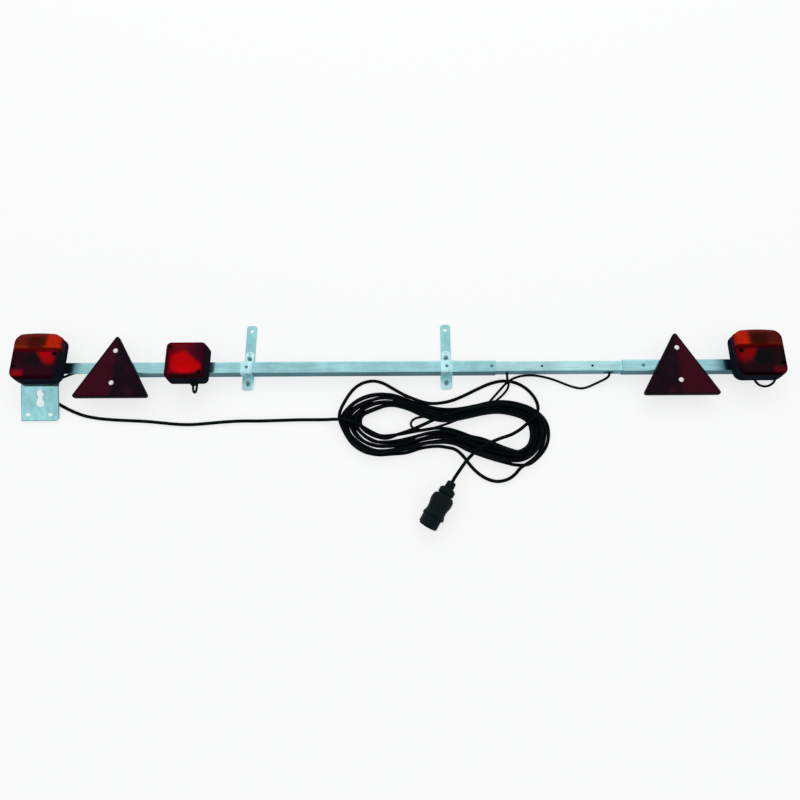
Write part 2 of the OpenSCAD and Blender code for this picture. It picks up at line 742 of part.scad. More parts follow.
// Bolts that hold a rear lamp: nuts behind the open left end, threads in the right tube's wall
module lamp_bolts(side) {
    tip = side < 0 ? plate_t + tube_wall + 7 : 9;
    color("darkgray")
        place_lamp(side)
            for (s = [-1, 1])
                translate([s * lamp_bolt_pitch / 2, 0, 0]) {
                    translate([0, 0, floor_t]) hex_head(lamp_bolt_d);
                    translate([0, 0, -tip]) cylinder(d = lamp_bolt_d, h = tip + floor_t + 0.5);
                    if (side < 0)
                        translate([0, 0, -plate_t - tube_wall - 4]) hex_nut(8, 4, lamp_bolt_d + nut_gap);
                }
}
module hex_head(d) {
    cylinder(d = 1.6 * d / cos(30), h = 0.7 * d, $fn = 6);
}

module lamp_grommets(side) {
    color("#0c0c0c")
        place_lamp(side) {
            translate([entry_main[0], entry_main[1], 0]) grommet();
            if (side < 0) translate([entry_bar[0], entry_bar[1], 0]) grommet();
        }
}

// Fog lamp

module place_fog() {
    translate([fog_x, 0, bar_front]) children();
}

module fog_base() {
    color("#161616")
        place_fog()
            difference() {
                lamp_tray(fog_w, fog_h, fog_drop, fog_corner, 0, fog_base_d, fog_screws);
                for (s = [-1, 1])
                    translate([s * fog_screw_pitch / 2, 0, -e]) cylinder(d = screw_shank_d + 0.5, h = floor_t + 2 * e);
                translate([gland_at, -fog_drop - e, fog_base_d - gland_d / 2 + 1])
                    rotate([-90, 0, 0]) cylinder(d = gland_d - 4, h = lens_wall + rim_gap + rim_t + 2 * e);
            }
}

module fog_lens() {
    z0 = fog_base_d + rim_h;
    color("#b30f14")
        place_fog()
            difference() {
                union() {
                    lens_shell(fog_w, fog_h, fog_drop, fog_corner, 0, fog_base_d, fog_front);
                    screw_wells(fog_screws, z0, fog_front);
                }
                screw_well_bores(fog_screws, z0, fog_front);
            }
}

// Reflector of the fog lamp: a round bowl on a floor, with a socket at its right
fog_bulb_z = floor_top + bulb_d / 2 + 2;
fog_bulb_y = (fog_top - fog_drop) / 2;
fog_cap_x = fog_w / 2 - lens_wall - rim_gap - rim_t - 2;

module fog_reflector() {
    inner = lens_wall + rim_gap + rim_t + 0.3;
    bowl_r = 24;
    color("gainsboro")
        place_fog()
            difference() {
                union() {
                    lamp_slab(fog_w, fog_h, fog_drop, fog_corner, 0, inner, floor_t, floor_top);
                    translate([-8, fog_bulb_y, floor_t])
                        rotate_extrude() polygon([
                            [bowl_r - 7, 0], [bowl_r - 4.5, 0.2], [bowl_r, 8], [bowl_r + 1, 14],
                            [bowl_r - 0.4, 14], [bowl_r - 1.6, 8.4], [bowl_r - 7, 1.5]
                        ]);
                    bulb_socket(fog_cap_x - bulb_grip, fog_bulb_y, fog_bulb_z, floor_t);
                }
                for (p = fog_screws)
                    translate([p[0], p[1], 0]) cylinder(d = boss_d + 0.6, h = fog_front);
                for (s = [-1, 1])
                    translate([s * fog_screw_pitch / 2, 0, 0]) cylinder(d = 9, h = fog_base_d);
                translate([fog_cap_x - bulb_len - 4, fog_bulb_y, fog_bulb_z])
                    rotate([0, 90, 0]) cylinder(d = bulb_d + 2, h = bulb_len + 4 - bulb_grip);
            }
}

module fog_bulb() {
    color("whitesmoke")
        place_fog() translate([fog_cap_x - bulb_len, fog_bulb_y, fog_bulb_z]) bulb(bulb_len);
}

module fog_fixing_screws() {
    color("darkgray")
        place_fog()
            for (s = [-1, 1])
                translate([s * fog_screw_pitch / 2, 0, 0]) {
                    translate([0, 0, floor_t]) dome_head(7, 2.4);
                    translate([0, 0, -8]) cylinder(d = screw_shank_d, h = 8 + floor_t + 0.5);
                }
}

module fog_lens_screws() {
    color("darkgray")
        place_fog()
            for (p = fog_screws)
                translate([p[0], p[1], fog_base_d + rim_h + well_floor]) {
                    dome_head(lens_screw_head_d, 2.2);
                    translate([0, 0, -12]) cylinder(d = screw_shank_d, h = 12.5);
                }
}

// Gland below the fog lamp, pointing down the board
module fog_gland() {
    color("#0c0c0c")
        translate([fog_cable_x, -fog_drop, gland_z])
            rotate([90, 0, 0])
                difference() {
                    rotate_extrude() polygon([
                        [0, -4], [gland_d / 2 - 2.1, -4], [gland_d / 2 - 2.1, 0], [gland_d / 2, 0],
                        [gland_d / 2, 4], [gland_d / 2 - 2, 7], [0, 7]
                    ]);
                    translate([0, 0, -4 - e]) cylinder(d = link_d, h = 10);
                }
}

// Reflector triangles

function tri_outline(inset) =
    let (q = tri_corner - min(inset, tri_corner - 1), s = tri_side / 2 - (inset - min(inset, tri_corner - 1)) * sqrt(3),
         y0 = tri_corner - tri_drop + (inset - min(inset, tri_corner - 1)), y1 = y0 + s * sqrt(3))
    concat(
        [for (i = [0:4]) [s + q * cos(30 * i - 90), y0 + q * sin(30 * i - 90)]],
        [for (i = [0:4]) [q * cos(30 + 30 * i), y1 + q * sin(30 + 30 * i)]],
        [for (i = [0:4]) [-s + q * cos(150 + 30 * i), y0 + q * sin(150 + 30 * i)]]
    );

module tri_holes(x, d) {
    for (s = [-1, 1])
        translate([x, s * tri_screw_pitch / 2, 0]) cylinder(d = d, h = bar_front + tri_t + 10);
}

module tri_backing(x) {
    color("#141012")
        difference() {
            translate([x, 0, bar_front]) linear_extrude(tri_t) polygon(tri_outline(0));
            translate([x, 0, bar_front + tri_t - prism_t]) linear_extrude(prism_t + e) polygon(tri_outline(tri_rim));
            tri_holes(x, tri_screw_d + 0.5);
        }
}

// Prism: a plate with a chamfered edge that stands a little above the rim
module tri_prism(x) {
    z0 = bar_front + tri_t - prism_t;
    color("#5c0a12")
        difference() {
            translate([x, 0, z0]) {
                linear_extrude(prism_t) polygon(tri_outline(tri_rim + 0.15));
                translate([0, 0, prism_t - e]) linear_extrude(e + 0.8) polygon(tri_outline(tri_rim + 1.5));
            }
            tri_holes(x, tri_screw_d + 0.5);
        }
}

module tri_screws(x) {
    top = bar_front + tri_t + 0.8;
    color("whitesmoke")
        for (s = [-1, 1])
            translate([x, s * tri_screw_pitch / 2, 0]) {
                translate([0, 0, top]) dome_head(dome_d, 3);
                cylinder(d = tri_screw_d, h = top + 0.5);
            }
}

// Tapped strip behind the bar that a triangle's screws pull on
module tri_strip(x) {
    reach = tri_screw_pitch / 2 + 10;
    color("lightsteelblue")
        difference() {
            translate([x, 0, 0]) linear_extrude(strap_t) round_rect(20, 2 * reach, 3);
            translate([0, 0, -e]) tri_holes(x, tri_screw_d + nut_gap);
        }
}

// Hanging brackets

module strap(x) {
    corner = 4;
    color("lightsteelblue")
        translate([x, 0, 0])
            difference() {
                linear_extrude(strap_t)
                    difference() {
                        translate([-strap_w / 2, -strap_bottom]) square([strap_w, strap_top + strap_bottom]);
                        for (s = [-1, 1]) {
                            translate([s * strap_w / 2, strap_top]) rotate(45) square(corner * sqrt(2), center = true);
                            translate([s * strap_w / 2, -strap_bottom]) rotate(45) square(corner, center = true);
                        }
                    }
                translate([0, strap_top - strap_hole_inset, -e]) cylinder(d = strap_hole_d, h = strap_t + 2 * e);
                for (s = [-1, 1])
                    translate([0, s * bracket_bolt_pitch / 2, -e]) {
                        cylinder(d = bracket_bolt_d + 0.3, h = strap_t + 2 * e);
                        cylinder(d1 = 2 * bracket_bolt_d + 2 * e + 0.3, d2 = 0.3, h = bracket_bolt_d + e);
                    }
                pilot_holes();
            }
}

// Small spare holes beside the bolts, through foot and strap
module pilot_holes() {
    for (y = [bracket_bolt_pitch / 2 + 10.5, -bracket_bolt_pitch / 2 - 6.5])
        translate([0, y, -e]) cylinder(d = 3.2, h = strap_t + saddle_t + 2 * e);
}

// Saddle: a strip bent over the bar, with a round upper foot and a square lower one
module saddle(x) {
    half = tube_w / 2 + 0.2;
    outer = half + saddle_t;
    top_r = saddle_w / 2 - 2.5;
    color("aliceblue")
        translate([x, 0, 0])
            difference() {
                intersection() {
                    along_x(-saddle_w / 2, saddle_w)
                        difference() {
                            union() {
                                translate([-outer, strap_t]) square([2 * outer, tube_w / 2]);
                                translate([0, strap_t + tube_w / 2 + saddle_t / 2])
                                    round_rect(2 * outer, tube_w + saddle_t, tube_corner + saddle_t);
                                translate([-strap_bottom, strap_t])
                                    square([strap_bottom + saddle_top, saddle_t]);
                            }
                            translate([-half, strap_t - e]) square([2 * half, tube_w / 2 + e]);
                            translate([0, strap_t + tube_w / 2]) round_rect(2 * half, tube_w, tube_corner);
                        }
                    linear_extrude(bar_front + saddle_t + e) {
                        translate([-saddle_w / 2, -strap_bottom]) round_foot(saddle_w, strap_bottom + outer, 4);
                        translate([-top_r, 0]) square([2 * top_r, saddle_top - top_r]);
                        translate([0, saddle_top - top_r]) circle(top_r);
                    }
                }
                for (s = [-1, 1])
                    translate([0, s * bracket_bolt_pitch / 2, 0])
                        cylinder(d = bracket_bolt_d + 0.3, h = strap_t + saddle_t + e);
                translate([0, 0, bar_z]) cylinder(d = screw_shank_d + 0.3, h = tube_w);
                translate([0, 0, strap_t - e]) pilot_holes();
            }
}
module round_foot(w, h, r) {
    translate([0, r]) square([w, h - r]);
    translate([r, 0]) square([w - 2 * r, r + e]);
    for (x = [r, w - r]) translate([x, r]) circle(r);
}

// Bolts let in flush from behind, their nuts in front, and the screw that pins the saddle
module bracket_bolts(x) {
    seat = strap_t + saddle_t;
    color("dimgray")
        translate([x, 0, 0]) {
            for (s = [-1, 1])
                translate([0, s * bracket_bolt_pitch / 2, 0]) {
                    cylinder(d = bracket_bolt_d, h = seat + 5.5);
                    cylinder(d1 = 2 * bracket_bolt_d, d2 = 0, h = bracket_bolt_d);
                    translate([0, 0, seat]) hex_nut(8, 4, bracket_bolt_d + nut_gap);
                }
            translate([0, 0, bar_front + saddle_t]) dome_head(7, 2);
            translate([0, 0, bar_front - tube_wall]) cylinder(d = screw_shank_d, h = tube_wall + saddle_t + 0.5);
        }
}

// Keyhole plate: flat behind the left lamp, bent back below it

module keyhole_plate() {
    arc_pts = [for (a = [plate_tilt:-5:0.01]) [-plate_bend - plate_t * sin(a), plate_t * cos(a)]];
    tip = [-plate_bend - plate_len * cos(plate_tilt), -plate_len * sin(plate_tilt)];
    face = [-plate_t * sin(plate_tilt), plate_t * cos(plate_tilt)];
    color("lightsteelblue")
        translate([left_lamp_x, 0, bar_front])
            difference() {
                along_x(plate_shift - plate_w / 2, plate_w)
                    polygon(concat(
                        [[plate_top, 0], [plate_top, plate_t], [-plate_bend, plate_t]],
                        [for (i = [len(arc_pts) - 1:-1:0]) arc_pts[i]],
                        [tip + face, tip, [-plate_bend, 0]]
                    ));
                for (s = [-1, 1])
                    translate([s * lamp_bolt_pitch / 2, 0, -e]) cylinder(d = lamp_bolt_d + 0.5, h = plate_t + 2 * e);
                for (p = [entry_main, [-entry_bar[0], entry_bar[1]]])
                    translate([p[0], p[1], -e]) cylinder(d = entry_d + 6, h = plate_t + 2 * e);
                translate([plate_shift, -plate_bend, 0])
                    rotate([plate_tilt, 0, 0])
                        translate([0, 0, -e]) plate_cuts(plate_t + 2 * e);
            }
}

// Holes and rounded corners of the bent part, drawn downwards from the bend
module plate_cuts(h) {
    r = 8;
    translate([0, -key_top_at, 0]) cylinder(d = key_top_d, h = h);
    translate([0, -key_low_at, 0]) cylinder(d = key_low_d, h = h);
    translate([-key_neck / 2, -key_low_at, 0]) cube([key_neck, key_low_at - key_top_at, h]);
    for (s = [-1, 1])
        translate([s * slot_pitch / 2 - plate_shift, -slot_at, 0]) {
            for (t = [-1, 1])
                translate([t * (slot_len - slot_w) / 2, 0, 0]) cylinder(d = slot_w, h = h);
            translate([(slot_w - slot_len) / 2, -slot_w / 2, 0]) cube([slot_len - slot_w, slot_w, h]);
        }
    difference() {
        translate([plate_w / 2 - r, -plate_len - e, 0]) cube([r + e, r + e, h]);
        translate([plate_w / 2 - r, -plate_len + r, -e]) cylinder(r = r, h = h + 2 * e);
    }
}

// Cables

module black_cable() {
    color("#101312") children();
}

module fog_cable() {
    black_cable() cable(fog_cable_route, link_d, 10, 8);
}

module cable_hank() {
    color("#101312")
        union() {
            linear_extrude(hank_h)
                difference() {
                    polygon(smooth_ring(hank_outline, 3));
                    polygon(smooth_ring(hank_left_opening, 3));
                    polygon(smooth_ring(hank_right_opening, 3));
                }
            for (turn = loose_turns)
                linear_extrude(trunk_d) polygon(stroke(smooth_line(turn, 3), trunk_d));
        }
}

// Plug, drawn with its mouth towards X

module place_plug() {
    translate(plug_at) rotate([0, 0, plug_turn]) children();
}
module turned() {
    rotate([0, 90, 0]) rotate_extrude() children();
}

nose_x = plug_len - nose_len;
insert_back = nose_x - 16;
insert_front = plug_len - 16;

module plug_shell() {
    r = plug_d / 2;
    nr = nose_d / 2;
    bore = nr - nose_wall;
    color("#121615")
        place_plug() {
            difference() {
                turned() polygon([
                    [0, nut_len - 6], [7.5, nut_len - 6], [7.5, nut_len], [13, nut_len], [16, nut_len + 3],
                    [16, 27], [13.5, 28.5], [13.5, 30], [18.5, 31.5], [21, 35], [r, 40], [r, 46], [20, 55],
                    [19.2, 60], [19.6, 68], [r, 74], [r, nose_x - 1], [r - 1, nose_x], [nr, nose_x],
                    [nr, plug_len - 1], [nr - 1, plug_len], [0, plug_len]
                ]);
                translate([insert_back, 0, 0]) rotate([0, 90, 0]) cylinder(r = bore, h = plug_len);
                translate([30, 0, 0]) rotate([0, 90, 0]) cylinder(r = bore - 3, h = plug_len);
                rotate([0, 90, 0]) cylinder(d = trunk_d, h = plug_len);
            }
            translate([nose_x - e, -nr - 1.4, -2.5]) cube([nose_len - 3, 2.4, 5]);
        }
}

// Fluted gland nut that clamps the cable
module plug_nut() {
    color("#0d100f")
        place_plug()
            difference() {
                turned() polygon([
                    [0, 0], [7.5, 0], [9, 1.5], [9.8, nut_len - 1.2], [9.8, nut_len - 0.2], [0, nut_len - 0.2]
                ]);
                translate([nut_len - 6.2, 0, 0]) rotate([0, 90, 0]) cylinder(r = 7.6, h = nut_len);
                rotate([0, 90, 0]) cylinder(d = trunk_d, h = nut_len);
                for (a = [0:45:315])
                    rotate([a, 0, 0]) translate([2, 0, 10.4]) rotate([0, 90, 0]) cylinder(d = 4, h = nut_len);
            }
}

module pin_places() {
    for (a = [0:60:300]) rotate([a, 0, 0]) translate([0, 0, 10]) children();
    children();
}

module plug_insert() {
    bore = nose_d / 2 - nose_wall;
    color("#1c1c1c")
        place_plug()
            difference() {
                translate([insert_back, 0, 0]) rotate([0, 90, 0]) cylinder(r = bore, h = insert_front - insert_back);
                pin_places() translate([insert_back - e, 0, 0]) rotate([0, 90, 0]) cylinder(d = pin_d, h = plug_len);
            }
}

module plug_pins() {
    color("goldenrod")
        place_plug()
            pin_places()
                translate([insert_back, 0, 0])
                    rotate([0, 90, 0]) {
                        cylinder(d = pin_d, h = insert_front - insert_back + 9);
                        translate([0, 0, insert_front - insert_back + 9]) cylinder(d1 = pin_d, d2 = pin_d - 2, h = 1);
                    }
}

main_tube();
inner_tube();
right_tube();
lock_screw(lock_x);  // main_lock_screw
lock_screw(right_lock_x);  // right_lock_screw
lamp_base(-1);  // left_lamp_base
lamp_reflector(-1);  // left_lamp_reflector
lamp_bulb(-1, indicator_y, bulb_z, "orange");  // left_indicator_bulb
lamp_bulb(-1, tail_y, bulb_z, "whitesmoke");  // left_tail_bulb
lamp_lens(-1, true);  // left_amber_lens
lamp_lens(-1, false);  // left_red_lens
lens_screws(-1);  // left_lens_screws
lamp_bolts(-1);  // left_lamp_bolts
lamp_grommets(-1);  // left_lamp_grommets
lamp_base(1);  // right_lamp_base
lamp_reflector(1);  // right_lamp_reflector
lamp_bulb(1, indicator_y, bulb_z, "orange");  // right_indicator_bulb
lamp_bulb(1, tail_y, bulb_z, "whitesmoke");  // right_tail_bulb
lamp_lens(1, true);  // right_amber_lens
lamp_lens(1, false);  // right_red_lens
lens_screws(1);  // right_lens_screws
lamp_bolts(1);  // right_lamp_bolts
lamp_grommets(1);  // right_lamp_grommets
fog_base();
fog_reflector();
fog_bulb();
fog_lens();
fog_lens_screws();
fog_fixing_screws();
fog_gland();
fog_cable();
tri_backing(left_tri_x);  // left_triangle_backing
tri_prism(left_tri_x);  // left_triangle_prism
tri_screws(left_tri_x);  // left_triangle_screws
tri_strip(left_tri_x);  // left_triangle_strip
tri_backing(right_tri_x);  // right_triangle_backing
tri_prism(right_tri_x);  // right_triangle_prism
tri_screws(right_tri_x);  // right_triangle_screws
tri_strip(right_tri_x);  // right_triangle_strip
strap(bracket_xs[0]);  // left_strap
saddle(bracket_xs[0]);  // left_saddle
bracket_bolts(bracket_xs[0]);  // left_bracket_bolts
strap(bracket_xs[1]);  // right_strap
saddle(bracket_xs[1]);  // right_saddle
bracket_bolts(bracket_xs[1]);  // right_bracket_bolts
keyhole_plate();
black_cable() cable(trunk_route, trunk_d, 20, 10);  // trunk_cable
cable_hank();
black_cable() cable(plug_lead_route, trunk_d, 20, 10);  // plug_lead
black_cable() cable(link_left_route, link_d, 12, 8);  // link_cable_left
black_cable() cable(link_right_route, link_d, 12, 8);  // link_cable_right
black_cable() cable(bar_cable_route, link_d, 12, 8);  // bar_cable
black_cable() cable(right_lamp_route, link_d, 12, 8);  // right_lamp_cable
plug_shell();
plug_nut();
plug_insert();
plug_pins();
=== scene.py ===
import math

import bmesh
import bpy
from bpy.props import FloatProperty, FloatVectorProperty, PointerProperty
from mathutils import Matrix, Vector


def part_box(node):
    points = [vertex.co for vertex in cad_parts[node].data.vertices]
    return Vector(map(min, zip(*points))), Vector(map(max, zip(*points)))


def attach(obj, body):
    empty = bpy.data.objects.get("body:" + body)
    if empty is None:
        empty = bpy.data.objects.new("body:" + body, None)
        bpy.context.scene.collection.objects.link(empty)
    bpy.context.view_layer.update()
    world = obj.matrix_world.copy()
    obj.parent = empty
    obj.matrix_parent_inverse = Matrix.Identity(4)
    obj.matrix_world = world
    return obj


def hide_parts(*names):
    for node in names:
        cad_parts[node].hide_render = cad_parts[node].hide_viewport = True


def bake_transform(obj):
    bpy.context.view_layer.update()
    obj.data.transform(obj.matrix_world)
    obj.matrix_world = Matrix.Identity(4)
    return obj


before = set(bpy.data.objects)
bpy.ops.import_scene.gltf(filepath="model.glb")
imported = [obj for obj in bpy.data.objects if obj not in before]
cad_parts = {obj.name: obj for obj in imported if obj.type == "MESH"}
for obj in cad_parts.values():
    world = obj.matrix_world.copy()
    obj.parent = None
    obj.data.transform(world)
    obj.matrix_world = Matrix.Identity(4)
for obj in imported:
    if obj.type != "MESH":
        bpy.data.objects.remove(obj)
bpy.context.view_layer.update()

bl_info = {
    "name": "Trailer lighting board",
    "version": (1, 0, 0),
    "blender": (4, 5, 0),
    "location": "View3D > Sidebar > Lighting board",
    "description": "Dresses a telescopic trailer lighting board with lenses, cables, finishes and a studio",
    "category": "Object",
}

MM = 0.001

# The photograph's camera: its place in metres, its yaw, pitch and roll, and its focal length as a
# share of the picture's width
CAMERA_PLACE = (0.0179, -0.5146, 1.3444)
CAMERA_TURN = (0.0268633, 1.24685, 0.0307281)
CAMERA_FOCUS = 689.33 / 800
SENSOR = 36.0

# The wells of the lens screws, in metres
SCREW_HEAD_RADIUS = 0.0035
WELL_RADIUS = 0.0052
WELL_WALL = 0.0012
WELL_OPENING = 0.0040
WELL_HOLE_RADIUS = 0.00195
WELL_GAP = 0.0003


def linear(hex_colour):
    """Linear colour of a #rrggbb tone."""
    parts = [int(hex_colour[i:i + 2], 16) / 255 for i in (1, 3, 5)]
    return tuple(p / 12.92 if p <= 0.04045 else ((p + 0.055) / 1.055) ** 2.4 for p in parts)


def colour_property(label, note, hex_colour):
    return FloatVectorProperty(
        name=label, description=note, subtype="COLOR", size=3, min=0, max=1, default=linear(hex_colour)
    )


def length_property(label, note, metres):
    return FloatProperty(name=label, description=note, unit="LENGTH", default=metres, min=0)


class BoardSizes(bpy.types.PropertyGroup):
    """Sizes of the pieces that are added to the frame."""

    main_cable: length_property("Main cable", "Diameter of the seven-core cable", 0.007)
    thin_cable: length_property("Thin cable", "Diameter of the cables between the lamps", 0.005)
    lens_wall: length_property("Lens wall", "Thickness of a lens", 0.002)
    lens_edge: length_property("Lens edge", "Rounding of a lens's front edge", 0.0045)
    lens_crown: length_property("Lens crown", "Rise of a lens's face", 0.0018)
    lamp_corner: length_property("Lamp corner", "Corner radius of a rear lamp", 0.017)
    lamp_arch: length_property("Lamp arch", "Rise of a rear lamp's upper edge at its middle", 0.003)
    fog_corner: length_property("Fog lamp corner", "Corner radius of the fog lamp", 0.010)
    floor_size: length_property("Floor", "Side of the studio floor", 12.0)


class BoardColours(bpy.types.PropertyGroup):
    """Colours of the board's finishes."""

    zinc: colour_property("Zinc", "Galvanised tubes", "#97cad0")
    strip_zinc: colour_property("Strip zinc", "Straps and strips", "#84babd")
    bright_zinc: colour_property("Bright zinc", "Inner tube, saddles and keyhole plate", "#acd8dc")
    plate_zinc: colour_property("Plate zinc", "Keyhole plate", "#98d4d8")
    fixing: colour_property("Fixings", "Bolts, nuts and screws", "#5f8b8e")
    # The lenses' lit parts are painted light, and the amber windows' brightest streaks painted highlights
    amber: colour_property("Amber", "Lit part of the indicator windows", "#ac1602")
    amber_glint: colour_property("Amber glow", "Brightest streaks of the indicator windows", "#cc3c06")
    fog_red: colour_property("Fog red", "Lit part of the fog lens", "#bc0206")
    # The triangles' lit and unlit halves are painted light and shade
    prism: colour_property("Prism", "Lit half of the triangles", "#3e0a1a")
    prism_dull: colour_property("Dull prism", "Unlit half of the triangles", "#160c14")
    housing: colour_property("Housing", "Lamp bases", "#141820")
    black: colour_property("Black", "Triangle backings and grommets", "#0c0f12")
    plug: colour_property("Plug black", "Plug and its nut", "#12191a")
    cable: colour_property("Cable", "Cable jacket", "#01090b")


# Shader arithmetic

class Signal:
    """A shader socket that takes part in ordinary arithmetic."""

    def __init__(self, paint, socket):
        self.paint = paint
        self.socket = socket

    def _with(self, operation, other, swapped=False):
        pair = (other, self) if swapped else (self, other)
        return self.paint.maths(operation, *pair)

    def __add__(self, other):
        return self._with("ADD", other)

    __radd__ = __add__

    def __sub__(self, other):
        return self._with("SUBTRACT", other)

    def __rsub__(self, other):
        return self._with("SUBTRACT", other, True)

    def __mul__(self, other):
        return self._with("MULTIPLY", other)

    __rmul__ = __mul__


class Paint:
    """The node tree of one material or of the world, built from expressions."""

    def __init__(self, owner):
        owner.use_nodes = True
        self.owner = owner
        self.tree = owner.node_tree
        self.tree.nodes.clear()

    def node(self, kind, settings=None, inputs=None, output=0):
        made = self.tree.nodes.new(kind)
        for key, value in (settings or {}).items():
            setattr(made, key, value)
        for key, value in (inputs or {}).items():
            socket = made.inputs[key]
            if isinstance(value, Signal):
                self.tree.links.new(value.socket, socket)
            elif isinstance(value, tuple) and len(socket.default_value) == 4:
                socket.default_value = (*value, 1.0)
            else:
                socket.default_value = value
        return Signal(self, made.outputs[output]) if made.outputs else None

    def maths(self, operation, a, b=0.0):
        return self.node("ShaderNodeMath", {"operation": operation}, {0: a, 1: b})

    def mix(self, factor, a, b):
        return self.node("ShaderNodeMix", {"data_type": "RGBA"}, {0: factor, 6: a, 7: b}, 2)

    def step(self, value, low, high):
        """Rises smoothly from 0 at low to 1 at high."""
        return self.node("ShaderNodeMapRange", {"interpolation_type": "SMOOTHSTEP"},
                         {0: value, 1: low, 2: high, 3: 0.0, 4: 1.0})

    def band(self, value, low, high, soft):
        """1 between low and high, with soft edges."""
        return self.step(value, low - soft, low + soft) * (1 - self.step(value, high - soft, high + soft))

    def disc(self, u, v, centre, radii, soft=0.15):
        """1 inside an ellipse, with a soft edge given as a share of its radii."""
        across = (u - centre[0]) * (1 / radii[0])
        along = (v - centre[1]) * (1 / radii[1])
        away = self.maths("SQRT", across * across + along * along)
        return 1 - self.step(away, 1 - soft, 1 + soft)

    def place(self):
        return self.node("ShaderNodeTexCoord", output=3)

    def axes(self, vector):
        first = self.node("ShaderNodeSeparateXYZ", None, {0: vector})
        return [Signal(self, socket) for socket in first.socket.node.outputs]

    def stretched(self, vector, scale):
        return self.node("ShaderNodeMapping", None, {"Vector": vector, "Scale": scale})

    def noise(self, vector, scale, detail=3.0, roughness=0.5):
        return self.node("ShaderNodeTexNoise", None,
                         {"Vector": vector, "Scale": scale, "Detail": detail, "Roughness": roughness})

    def cells(self, vector, scale, feature="F1"):
        return self.node("ShaderNodeTexVoronoi", {"feature": feature}, {"Vector": vector, "Scale": scale})

    def flutes(self, vector, scale, direction="X"):
        return self.node("ShaderNodeTexWave", {"wave_type": "BANDS", "bands_direction": direction},
                         {"Vector": vector, "Scale": scale})

    def bump(self, height, strength, distance):
        return self.node("ShaderNodeBump", None,
                         {"Height": height, "Strength": strength, "Distance": distance})

    def finish(self, colour, roughness, normal, **constants):
        inputs = {"Base Color": colour, "Roughness": roughness, "Normal": normal}
        for key, value in constants.items():
            inputs[key.replace("_", " ")] = value
        shader = self.node("ShaderNodeBsdfPrincipled", None, inputs)
        self.node("ShaderNodeOutputMaterial", None, {"Surface": shader})
        return self.owner


def new_paint(name):
    return Paint(bpy.data.materials.new(name))


def darker(colour, factor):
    return tuple(c * factor for c in colour)


# Finishes

# How far out, in metres, the painted reflection of the dark rear lamps starts on the bar, and where it is
# darkest
BAR_SHADE = (0.640, 0.676)


def zinc_finish(name, colour, lengthwise=(5.0, 80.0, 80.0), shaded=None, gloss=0.10, edges=None):
    """Galvanised steel: spangle, dull streaks along the piece, stains, and painted shade on the lower face.

    shaded is (how low the lower face lies on Y, how much darker its painted shade is), in metres; it also
    lays a painted reflection of the dark rear lamps on the bar beside them.
    edges are the left, right and lower edges of a plate, along which a dark rim of painted shade runs."""
    paint = new_paint(name)
    place = paint.place()
    x, y, z = paint.axes(place)
    streaks = paint.noise(paint.stretched(place, lengthwise), 3.0, 4.0, 0.6)
    patches = paint.noise(place, 24.0, 3.0, 0.55)
    grains = paint.cells(place, 170.0)
    tone = streaks * 0.55 + patches * 0.45
    lit = tuple(min(1.0, c * 1.12) for c in colour)
    base = paint.mix(paint.step(tone, 0.30, 0.68), darker(colour, 0.78), lit)
    base = paint.mix(paint.step(grains, 0.25, 0.75) * 0.12, base, darker(colour, 0.72))
    stains = paint.band(paint.noise(place, 11.0, 5.0, 0.65), 0.58, 0.75, 0.05)
    stain = (colour[0] * 0.50, colour[1] * 0.56, colour[2] * 0.58)
    base = paint.mix(stains * (0.12 if edges else 0.25), base, stain)
    # A dark rim of painted shade along the plate's left, right and lower edges
    if edges:
        left, right, low = edges
        inside = (paint.band(x, left + 0.0012, right - 0.0014, 0.0006)
                  * paint.step(y, low + 0.0006, low + 0.0020))
        base = paint.mix((1 - inside) * 0.75, base, (colour[0] * 0.18, colour[1] * 0.26, colour[2] * 0.28))
    metal = 0.94
    if shaded:
        # Painted reflection of the dark rear lamps on the bar beside them, weaker on its back face
        outwards = paint.step(paint.maths("ABSOLUTE", x), *BAR_SHADE)
        beside = outwards * (1 - paint.step(y, 0.0125, 0.0135) * 0.3)
        base = paint.mix(beside * 0.92, base, (colour[0] * 0.02, colour[1] * 0.10, colour[2] * 0.16))
        # Painted shade on the lower face: darker and bluer, with less metal, so that it reads dark and dull
        level, depth = shaded
        lower = 1 - paint.step(y, level - 0.0009, level + 0.0002)
        base = paint.mix(lower * (0.93 - 0.2 * streaks), base,
                         (colour[0] * depth * 0.48, colour[1] * depth * 0.82, colour[2] * depth * 1.0))
        metal = 0.94 - 0.94 * lower
    roughness = gloss + 0.08 * patches + 0.06 * grains
    relief = paint.bump(streaks * 0.6 + grains * 0.4, 0.07, 0.0003)
    return paint.finish(base, roughness, relief, Metallic=metal, Specular_IOR_Level=0.02)


def plated_finish(name, colour, roughness=0.30, metallic=0.85):
    """Small plated fasteners: turned marks and a little tarnish."""
    paint = new_paint(name)
    place = paint.place()
    tarnish = paint.noise(place, 260.0, 4.0, 0.6)
    base = paint.mix(paint.step(tarnish, 0.45, 0.75), colour, darker(colour, 0.60))
    marks = paint.noise(place, 1400.0, 2.0, 0.5)
    return paint.finish(base, roughness + 0.22 * tarnish, paint.bump(marks, 0.12, 0.0002), Metallic=metallic)


def moulded_finish(name, colour, roughness=0.38, grain=900.0, sheen=0.05):
    """Moulded black plastic: fine grain, dusty rubs and a soft sheen."""
    paint = new_paint(name)
    place = paint.place()
    dust = paint.noise(place, 35.0, 5.0, 0.62)
    grains = paint.noise(place, grain, 2.0, 0.5)
    base = paint.mix(paint.step(dust, 0.50, 0.85) * 0.5, colour, tuple(c + 0.010 for c in colour))
    return paint.finish(base, roughness + 0.20 * dust, paint.bump(grains, 0.22, 0.00025),
                        Specular_IOR_Level=sheen, Specular_Tint=(0.45, 0.55, 0.72))


